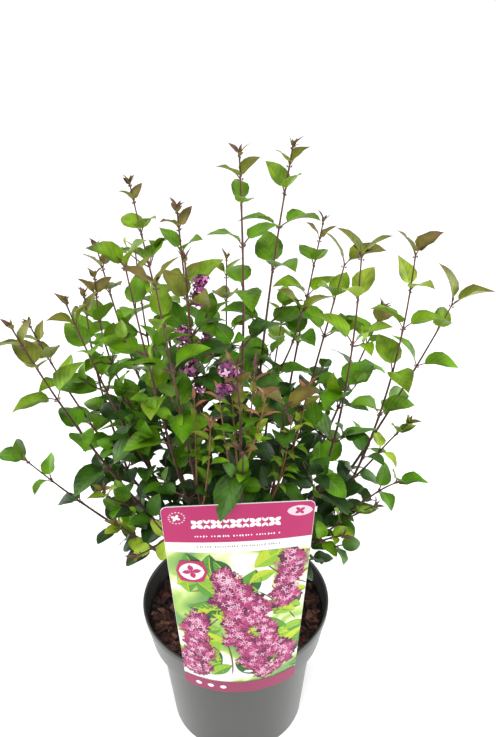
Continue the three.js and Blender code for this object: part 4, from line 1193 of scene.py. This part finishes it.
CHIP_TINTS = {
    "chip_dark": (40, 22, 19), "chip_brown": (66, 36, 30), "chip_red": (90, 48, 38),
    "chip_pale": (116, 76, 60),
}
chip_materials = make_materials(CHIP_TINTS, 240, shades=(0.6, 1.35), contrast=3, rough=0.9,
                                grain=(420.0, EVEN, 0.7, 0.0015))
soil_dark = make_material("soil_dark", (34, 22, 18), 200, (0.6, 1.4), 3, 0.95, (300.0, EVEN, 0.9, 0.003))
CHIP_SIZES, CHIP_LIFTS = ((6, 16), (3.6, 8), (1.5, 3.6)), (-1.5, 4.2)
CHIP_REACH, CHIP_LIMIT, CHIP_SHIFT = 86, 87.5, 0.06
CHIP_PITCH, CHIP_ROLL, CHIP_DENTS = 0.42, 0.5, (-0.32, 0.12)
CHIP_MIX = [0, 0, 1, 1, 2, 3]
SOIL_WAVE, SOIL_SINK = 1.3, 1.2


def soil_part(rings=34, sides=96):
    """The bed's top as a disc of rings, uneven by a sum of waves, over the filling's sides and flat foot."""
    inset, foot = WALL + GAP, FLOOR_THICKNESS + GAP
    slope = (RIM_RADIUS - COLLAR_LOW_RADIUS) / (RIM_HEIGHT - LEDGE)
    edge = COLLAR_LOW_RADIUS - inset + slope * (SOIL_TOP - LEDGE)
    wall = np.array([
        [MIDDLE, foot], [BASE_RADIUS - inset, foot], [BODY_TOP_RADIUS - inset, LEDGE + GAP],
        [COLLAR_LOW_RADIUS - inset, LEDGE + GAP], [edge, SOIL_TOP - 0.5],
    ])
    top = np.stack([np.linspace(edge, MIDDLE, rings), np.full(rings, SOIL_TOP)], -1)
    points = turned(np.concatenate([wall, top]), sides)
    x, y = points[len(wall):, :, 0], points[len(wall):, :, 1]
    waves = np.sin(x * 0.21 + 1) * np.cos(y * 0.17) + np.sin(x * 0.55 - y * 0.43) * 0.6
    points[len(wall):, :, 2] += waves * SOIL_WAVE - SOIL_SINK
    return points, tube_faces(1, len(points), sides)


def chips_part(count=860):
    """Bark chips as uneven slabs: the eight corners of a box, pushed about, turned and strewn over the bed by
    the golden angle at uneven heights."""
    rng = np.random.default_rng(31)
    number = np.arange(count)
    reach = CHIP_REACH * np.sqrt((number + 0.5) / count)
    turn = np.radians(GOLDEN_TURN) * number + rng.normal(0, CHIP_SHIFT, count)
    size = np.stack([rng.uniform(*limits, count) for limits in CHIP_SIZES], -1) / 2
    reach = np.minimum(reach, CHIP_LIMIT - size[:, 0])
    height = SOIL_TOP + rng.uniform(*CHIP_LIFTS, count)
    centre = np.stack([reach * np.cos(turn), reach * np.sin(turn), height], -1)
    yaw, pitch = rng.uniform(0, 6.3, count), rng.normal(0, CHIP_PITCH, count)
    roll = rng.normal(0, CHIP_ROLL, count)[:, None]
    long_axis = np.stack([np.cos(yaw) * np.cos(pitch), np.sin(yaw) * np.cos(pitch), np.sin(pitch)], -1)
    side = unit(np.cross(np.array([0, 0, 1.0]), long_axis))
    up = np.cross(long_axis, side)
    side, up = side * np.cos(roll) + up * np.sin(roll), up * np.cos(roll) - side * np.sin(roll)
    corner = np.array([[x, y, z] for z in (-1, 1) for x, y in ((-1, -1), (1, -1), (1, 1), (-1, 1))], float)
    shape = corner[None] * (1 + rng.uniform(*CHIP_DENTS, (count, 8, 3))) * size[:, None]
    points = (centre[:, None] + long_axis[:, None] * shape[..., :1] + side[:, None] * shape[..., 1:2]
              + up[:, None] * shape[..., 2:])
    box = np.array([[0, 3, 2, 1], [4, 5, 6, 7], [0, 1, 5, 4], [1, 2, 6, 5], [2, 3, 7, 6], [3, 0, 4, 7]])
    faces = (number[:, None, None] * 8 + box).reshape(-1, 4)
    return points, [(faces, np.repeat(rng.choice(CHIP_MIX, count), 6))]


soil = make_piece("soil_bed", [soil_part()], [soil_dark])
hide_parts("soil")
chips = make_piece("bark_chips", [chips_part()], chip_materials, smooth=False)


# ---------------------------------------------------------------- picture card

CARD_COLUMNS, CORNER_FROM = 41, CARD_TOP - CARD_CORNER
HEADER_FOOT, STRIP_FOOT, BAND_TOP, CARD_EDGE = 324, 312, 137, 0.3
PICTURE = {"within": (BAND_TOP, STRIP_FOOT)}
INK_STEP = 0.07
INKS = {
    "ink_magenta": (182, 34, 100), "ink_white": (244, 242, 242), "ink_blush": (238, 206, 218),
    "ink_magenta_painted_shade": (146, 34, 84), "ink_leaf_lime": (186, 206, 46), "ink_leaf_light": (142, 188, 50),
    "ink_leaf_green": (88, 152, 48), "ink_leaf_deep": (44, 96, 44), "ink_twig": (110, 74, 62),
    "ink_grey": (126, 116, 122), "ink_petal_dark": (84, 24, 60), "ink_petal_plum": (134, 36, 88),
    "ink_petal_rose": (186, 62, 122), "ink_petal_pink": (216, 122, 164), "ink_petal_pale": (240, 200, 218),
}
MAGENTA, WHITE, BLUSH_INK, MAGENTA_PAINTED_SHADE, LEAF_LIME, LEAF_LIGHT, LEAF_GREEN, LEAF_DEEP = range(8)
TWIG_INK, GREY, PETAL_DARK, PETAL_PLUM, PETAL_ROSE, PETAL_PINK, PETAL_PALE, BACKDROP = range(8, 16)
BACKDROP_STOPS = (
    (0.34, (96, 152, 66)), (0.44, (164, 202, 84)), (0.5, (222, 234, 168)), (0.56, (246, 248, 242)),
)

# The layers of a printed cluster: florets to a clump, their spread, sizes and slimness, and their inks
CLUSTER_LAYERS = (
    (8, 3.0, (4.4, 6.4), 0.8, (PETAL_DARK, PETAL_DARK, PETAL_PLUM)),
    (9, 3.7, (3.0, 4.6), 0.42, (PETAL_PLUM, PETAL_ROSE, PETAL_ROSE)),
    (8, 3.5, (2.6, 4.0), 0.36, (PETAL_ROSE, PETAL_PINK, PETAL_PLUM, PETAL_DARK)),
    (4, 3.2, (2.2, 3.4), 0.32, (PETAL_PINK, PETAL_PALE, PETAL_PALE)),
)
# Foot, tip, width and number of clumps of each printed cluster
CLUSTERS = (
    ((40, 240), (47, 308), 17, 13), ((-42, 146), (-38, 230), 22, 19), ((32, 148), (-14, 286), 50, 54),
)
PRINTED_TWIGS = [[-54, 196], [-20, 300], [52, 214], [-8, 150], [20, 300], [-46, 262]]
PRINTED_TWIG_TURNS = (48, -64, 128, 100, -40, 24)


def backdrop_material():
    """The blurred garden behind the printed flowers: soft blots of white, lime and green."""
    material, tree, shader = new_material("ink_backdrop", {"Roughness": 0.34, "Coat Weight": 0.25})
    blots = soft_noise(tree, {"Scale": 26, "Detail": 1.5, "Distortion": 0.8})
    ramp = add_node(tree, "ShaderNodeValToRGB", {"Fac": blots})
    stops = ramp.color_ramp.elements
    stops[1].position = BACKDROP_STOPS[-1][0]
    for _ in BACKDROP_STOPS[2:]:
        stops.new(BACKDROP_STOPS[1][0])
    for stop, (position, colour) in zip(stops, BACKDROP_STOPS):
        stop.position, stop.color = position, screen_colour(*colour)
    feed(tree, shader, {"Base Color": ramp.outputs["Color"]})
    return material


def card_half_width(height):
    """Half of the card's width at a height, narrowing in a quarter circle at the top corners."""
    share = (height - CARD_FOOT) / (CARD_TOP - CARD_FOOT)
    into = np.clip((height - CORNER_FROM) / CARD_CORNER, 0, 1)
    cut = CARD_CORNER * (1 - np.sqrt(1 - into ** 2))
    return (CARD_FOOT_WIDTH + (CARD_TOP_WIDTH - CARD_FOOT_WIDTH) * share) / 2 - cut


def on_card(across, height, depth):
    """A place on the card: an arc round the collar up to the rim and ever flatter up to the top, moved by
    depth from the card's middle towards the front."""
    across, height, depth = np.broadcast_arrays(across, height, depth)
    rise = np.maximum(0, height - RIM_HEIGHT)
    ahead = collar_radius(np.minimum(height, RIM_HEIGHT)) + CARD_GAP + CARD_THICKNESS / 2
    curvature = np.maximum((1 - rise / (CARD_TOP - RIM_HEIGHT)) / ahead, 1e-6)
    angle = across * curvature
    x = np.sin(angle) / curvature + depth * np.sin(angle)
    y = (1 - np.cos(angle)) / curvature - ahead - rise * CARD_LEAN - depth * np.cos(angle)
    along, aside = math.cos(math.radians(CARD_BEARING)), math.sin(math.radians(CARD_BEARING))
    return np.stack([x * along - y * aside, x * aside + y * along, height], -1)


def card_grid(foot, top, count, margin):
    """Places across the card and heights from a foot to a top, closer together round the top corners."""
    heights = np.linspace(foot, min(top, CORNER_FROM), count)
    if top > CORNER_FROM:
        bend = CORNER_FROM + (top - CORNER_FROM) * np.sin(np.linspace(0.2, math.pi / 2, 7))
        heights = np.concatenate([heights, bend])
    across = np.linspace(-1, 1, CARD_COLUMNS)[None] * (card_half_width(heights) - margin)[:, None]
    return across, heights[:, None]


def card_sheet_part():
    """The card as a closed slab: front and back grids whose edges are joined round the outside."""
    across, heights = card_grid(CARD_FOOT, CARD_TOP, 44, 0)
    front = on_card(across, heights, CARD_THICKNESS / 2)
    back = on_card(across[:, ::-1], heights, -CARD_THICKNESS / 2)
    around = np.concatenate([front, back], axis=1)
    rows, columns = around.shape[:2]
    c = np.arange(columns // 2 - 1)
    foot = np.stack([c, c + 1, columns - 2 - c, columns - 1 - c], -1)
    top = (foot + (rows - 1) * columns)[:, ::-1]
    return around, [(grid_faces(1, rows, columns, closed=True)[:, ::-1], 0), (foot, 0), (top, 0)]


def ink_band(foot, top, layer, ink):
    """A band of ink across the card between two heights."""
    across, heights = card_grid(foot, top, int((top - foot) / 6) + 2, CARD_EDGE)
    points = on_card(across, heights, CARD_THICKNESS / 2 + INK_STEP * layer)
    return points, [(grid_faces(1, len(heights), CARD_COLUMNS)[:, ::-1], ink)]


def ink_blades(places, bearings, lengths, widths, layer, inks, fullness=1.0, bend=0.0, rows=7, sides=(-1, 1),
               within=(CARD_FOOT, CARD_TOP)):
    """Leaf, petal or dot shapes of ink. Each starts at a place and runs along its bearing, bending evenly;
    its half width is a half sine along its length to the power of fullness, 0.5 for an oval. Sides tells
    which part of the width is inked; nothing leaves the card, or the heights within."""
    places = np.asarray(places, float)
    count = len(places)
    bearings, lengths, widths, bend = (
        np.broadcast_to(values, count)[:, None] for values in (np.radians(bearings), lengths, widths, bend)
    )
    u = np.linspace(0, 1, rows)
    turn = bearings + bend * (u - 0.5)
    along = np.stack([np.cos(turn), np.sin(turn)], -1)
    steps = along[:, :-1] * (lengths / (rows - 1))[..., None]
    line = places[:, None] + from_zero(steps)
    half = np.maximum(np.sin(math.pi * u) ** fullness, 0.04) * widths / 2
    beside = np.stack([-along[..., 1], along[..., 0]], -1)
    spots = line[:, :, None] + beside[:, :, None] * (half[..., None] * np.linspace(*sides, 3))[..., None]
    heights = np.clip(spots[..., 1], *within)
    edge = card_half_width(heights) - CARD_EDGE
    points = on_card(np.clip(spots[..., 0], -edge, edge), heights, CARD_THICKNESS / 2 + INK_STEP * layer)
    faces = grid_faces(count, rows, 3)[:, ::-1]
    return points, [(faces, np.repeat(np.broadcast_to(inks, count), (rows - 1) * 2))]


def ink_florets(centres, sizes, layer, inks, rng, slimness=0.62, **limits):
    """Four-petalled flowers of ink round each centre."""
    turn = rng.uniform(0, 90, len(centres))[:, None] + np.arange(4) * 90
    sizes = np.repeat(sizes, 4)
    return ink_blades(np.repeat(centres, 4, 0), turn.ravel(), sizes, sizes * slimness, layer,
                      np.repeat(inks, 4), fullness=0.7, rows=4, **limits)


def ink_leaves(places, bearings, lengths, layer, greens, lights, bends):
    """Printed leaves: a blade, its sunlit half, a midrib and four pairs of side veins."""
    parts = [
        ink_blades(places, bearings, lengths * share, lengths * width, layer + k, inks, fullness, bends, rows,
                   sides, **PICTURE)
        for k, (share, width, inks, fullness, rows, sides) in enumerate((
            (1, 0.52, greens, 0.8, 11, (-1, 1)), (1, 0.5, lights, 0.8, 11, (0.06, 1)),
            (0.96, 0.03, LEAF_LIME, 0.3, 9, (-1, 1)),
        ))
    ]
    for share in (0.18, 0.36, 0.54, 0.72):
        swing = np.radians(bearings) + bends * (share / 2 - 0.5)
        root = places + (lengths * share)[:, None] * np.stack([np.cos(swing), np.sin(swing)], -1)
        for side in (-44, 44):
            heading = bearings + np.degrees(bends * (share - 0.5)) + side
            reach = lengths * 0.27 * (1.25 - share)
            parts.append(ink_blades(root, heading, reach, 0.35, layer + 2, greens, 0.3, rows=3, **PICTURE))
    return parts


def ink_cluster(foot, tip, widest, clumps, rng):
    """A pointed flower cluster: clumps of florets strewn along its axis, each with dark gaps below, ever
    paler florets above and unopened flowers that point outwards."""
    foot, axis = np.array(foot, float), np.array(tip, float) - np.array(foot, float)
    heading = np.degrees(np.arctan2(axis[1], axis[0]))
    number = np.arange(clumps)
    share = (number + rng.uniform(0.2, 0.8, clumps)) / clumps
    half = widest / 2 * np.sqrt(np.clip(1 - share ** 1.5, 0, 1)) * (0.6 + 0.4 * np.minimum(share / 0.16, 1))
    offset = np.where(number % 2 == 0, 1, -1) * rng.uniform(0.1, 1, clumps)
    beside = unit(np.array([-axis[1], axis[0]]))
    middles = foot + axis * share[:, None] + beside * (offset * half)[:, None]
    parts = []
    for k, (florets, spread, sizes, slimness, inks) in enumerate(CLUSTER_LAYERS):
        count = clumps * florets
        places = np.repeat(middles, florets, 0) + rng.normal(0, spread, (count, 2)) + [-0.25 * k, 0.5 * k]
        mix = rng.choice(inks, count)
        parts.append(ink_florets(places, rng.uniform(*sizes, count), 6 + k, mix, rng, slimness, **PICTURE))
    count = clumps * 6
    places = np.repeat(middles, 6, 0) + rng.normal(0, 3, (count, 2))
    turn = heading + np.repeat(offset, 6) * rng.uniform(20, 95, count)
    mix = rng.choice([PETAL_ROSE, PETAL_PLUM, PETAL_PINK], count)
    parts.append(ink_blades(places, turn, rng.uniform(5, 8.5, count), 1.4, 8, mix, 0.6, rows=4, **PICTURE))
    return parts


def row(start, end, count, height):
    return np.stack([np.linspace(start, end, count), np.full(count, height)], -1)


def header_parts(rng):
    """White ornament on the header: a row of flowers with a sprig of leaves between each, a row of dashes, a
    pale oval with a flower in the right corner and a ring of dots in the left one."""
    flowers = row(-34, 30, 5, 345.0)
    sprigs = (flowers[:-1] + flowers[1:]) / 2
    dashes, kept = row(-36, 34, 31, 331.2), np.arange(31) % 8 != 5
    tall = rng.uniform(1.6, 3.0, 31)
    dashes[:, 1] -= tall / 2
    ring = np.radians(np.arange(0, 360, 24))
    dots = np.array([-51.0, 353.0]) + 6.5 * np.stack([np.cos(ring), np.sin(ring)], -1)
    return [
        ink_blades(np.repeat(flowers, 4, 0), np.tile(np.arange(4) * 90 + 45, 5), 6.6, 4.3, 2, WHITE, 0.7),
        ink_blades(flowers - [0.9, 0], 0, 1.8, 1.8, 3, MAGENTA, 0.5),
        *[ink_blades(sprigs + [0, lift], turn, 5.4, 2.4, 2, WHITE)
          for turn, lift in ((62, 0.5), (118, 0.5), (-62, -0.5), (-118, -0.5))],
        ink_blades(dashes[kept], rng.uniform(66, 114, 31)[kept], tall[kept], 1.3, 2, WHITE, 0.4, rows=4),
        ink_blades([[40.0, 355.5]], 0, 21, 12, 2, BLUSH_INK, 0.5, rows=15),
        ink_florets([[50.5, 355.5]], [5.0], 3, [MAGENTA], rng),
        ink_blades(dots, 0, 1.7, 1.5, 2, BLUSH_INK, 0.5, rows=5),
        ink_florets([[-51.0, 353.0]], [4.4], 2, [WHITE], rng),
    ]


def card_print_parts():
    """The print: a header with an ornament, a white strip with a row of dashes, a picture of leaves and
    three flower clusters that fills the card's width, a badge in its corner, and a foot band with dots in a
    darker magenta, which is painted shade."""
    rng = np.random.default_rng(44)
    parts = [
        ink_band(HEADER_FOOT, CARD_TOP - CARD_EDGE, 1, MAGENTA),
        ink_band(STRIP_FOOT, HEADER_FOOT, 1, WHITE),
        ink_band(BAND_TOP, STRIP_FOOT, 1, BACKDROP),
        # The foot band is a darker copy of the header's magenta: painted shade on the card's foot
        ink_band(CARD_FOOT + CARD_EDGE, BAND_TOP, 10, MAGENTA_PAINTED_SHADE),
        *header_parts(rng),
    ]
    dashes, kept = row(-34, 34, 34, 317.6), np.arange(34) % 11 != 6
    turns, lengths = rng.uniform(70, 110, 34), rng.uniform(1.8, 3.2, 34)
    parts += [
        ink_blades(dashes[kept], turns[kept], lengths[kept], 0.9, 2, GREY, 0.4, rows=4),
        ink_blades(PRINTED_TWIGS, PRINTED_TWIG_TURNS, 62, 1.5, 2, TWIG_INK, 0.2, 0.5, 13, **PICTURE),
    ]
    count = 40
    places = np.stack([rng.uniform(-58, 50, count), rng.uniform(140, 300, count)], -1)
    bearings, bends = rng.uniform(-50, 160, count), rng.uniform(-0.9, 0.9, count)
    lengths, shade = rng.uniform(22, 46, count), rng.integers(0, 3, count)
    greens = np.array([LEAF_LIGHT, LEAF_GREEN, LEAF_DEEP])[shade]
    lights = np.array([LEAF_LIME, LEAF_LIGHT, LEAF_GREEN])[shade]
    parts += ink_leaves(places, bearings, lengths, 3, greens, lights, bends)
    for cluster in CLUSTERS:
        parts += ink_cluster(*cluster, rng)
    return [
        *parts,
        ink_blades([[-54.0, 289.0]], 0, 27, 27, 10, MAGENTA, 0.12, rows=9),
        ink_blades([[-51.5, 289.0]], 0, 22, 21, 11, WHITE, 0.5, rows=15),
        ink_florets([[-40.5, 289.0]], [8.6], 12, [MAGENTA], rng),
        ink_blades(row(-44, -20, 3, 128.0), 0, 6.4, 5.6, 11, WHITE, 0.5),
    ]


card_white = make_material("card_white", (238, 238, 238), 30, (0.97, 1.0), rough=0.35, coat=0.2)
card = make_piece("card_sheet", [card_sheet_part()], [card_white], smooth=False)
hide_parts("card")
ink_materials = make_materials(INKS, 30, shades=(0.96, 1.03), rough=0.45, coat=0.08, specular=0.3)
card_print = make_piece("card_print", card_print_parts(), [*ink_materials, backdrop_material()])


# ---------------------------------------------------------------- studio

LENS, CAMERA_PLACE, LOOK_DOWN, CAMERA_ROLL = 43.96, (0.015, -0.665, 0.838), 31.6, -0.6
FLOOR_REACH, WORLD_LIGHT = 30.0, 0.62


def make_floor():
    """A wide pale floor."""
    mesh = bpy.data.meshes.new("floor")
    corners = [(FLOOR_REACH * x, FLOOR_REACH * y, 0) for x, y in ((-1, -1), (1, -1), (1, 1), (-1, 1))]
    mesh.from_pydata(corners, [], [(0, 1, 2, 3)])
    white = make_material("floor_white", (248, 248, 248), 1, (0.99, 1.0), rough=0.9, specular=0.1)
    shader = white.node_tree.nodes["Principled BSDF"]
    feed(white.node_tree, shader, {"Emission Color": (1, 1, 1, 1), "Emission Strength": 0.12})
    mesh.materials.append(white)
    floor = add_object("floor", mesh)


def add_sun(name, direction, strength, softness):
    """A distant light that shines along a direction and is as wide as softness, in degrees."""
    lamp = bpy.data.lights.new(name, "SUN")
    lamp.energy, lamp.angle = strength, math.radians(softness)
    back = -unit(np.array(direction, float))
    right = unit(np.cross(np.array([0, 0, 1.0]), back))
    rows = np.stack([right, np.cross(back, right), back], 1)
    add_object(name, lamp).matrix_world = Matrix([*((*line, 0) for line in rows), (0, 0, 0, 1)])


def add_panel(name, place, target, size, power):
    """A square soft light at a place, turned to a target, both in metres."""
    lamp = bpy.data.lights.new(name, "AREA")
    lamp.shape, lamp.size, lamp.energy = "SQUARE", size, power
    light = add_object(name, lamp)
    light.location = place
    light.rotation_euler = (Vector(target) - Vector(place)).to_track_quat("-Z", "Y").to_euler()


def make_camera():
    """The camera stands before the plant, a little above its top, and looks down on it."""
    lens = bpy.data.cameras.new("camera")
    lens.sensor_width, lens.lens = 36, LENS
    camera = add_object("camera", lens)
    camera.rotation_euler = (math.radians(90 - LOOK_DOWN), 0, 0)
    camera.location = CAMERA_PLACE
    bpy.context.scene.camera = camera
    bpy.context.view_layer.update()
    camera.matrix_world = camera.matrix_world @ Matrix.Rotation(math.radians(CAMERA_ROLL), 4, "Z")


world = bpy.data.worlds.new("studio")
world.use_nodes = True
feed(world.node_tree, world.node_tree.nodes["Background"], {"Color": (1, 1, 1, 1), "Strength": WORLD_LIGHT})
bpy.context.scene.world = world
bpy.context.scene.view_settings.view_transform = "Standard"
make_floor()
add_sun("key", (0.05, 0.55, -1.0), 1.5, 30)
add_panel("side_left", (-1.3, 0.15, 0.5), (0, 0, 0.15), 1.2, 17)
add_panel("side_right", (1.3, 0.15, 0.5), (0, 0, 0.15), 1.2, 18)
make_camera()
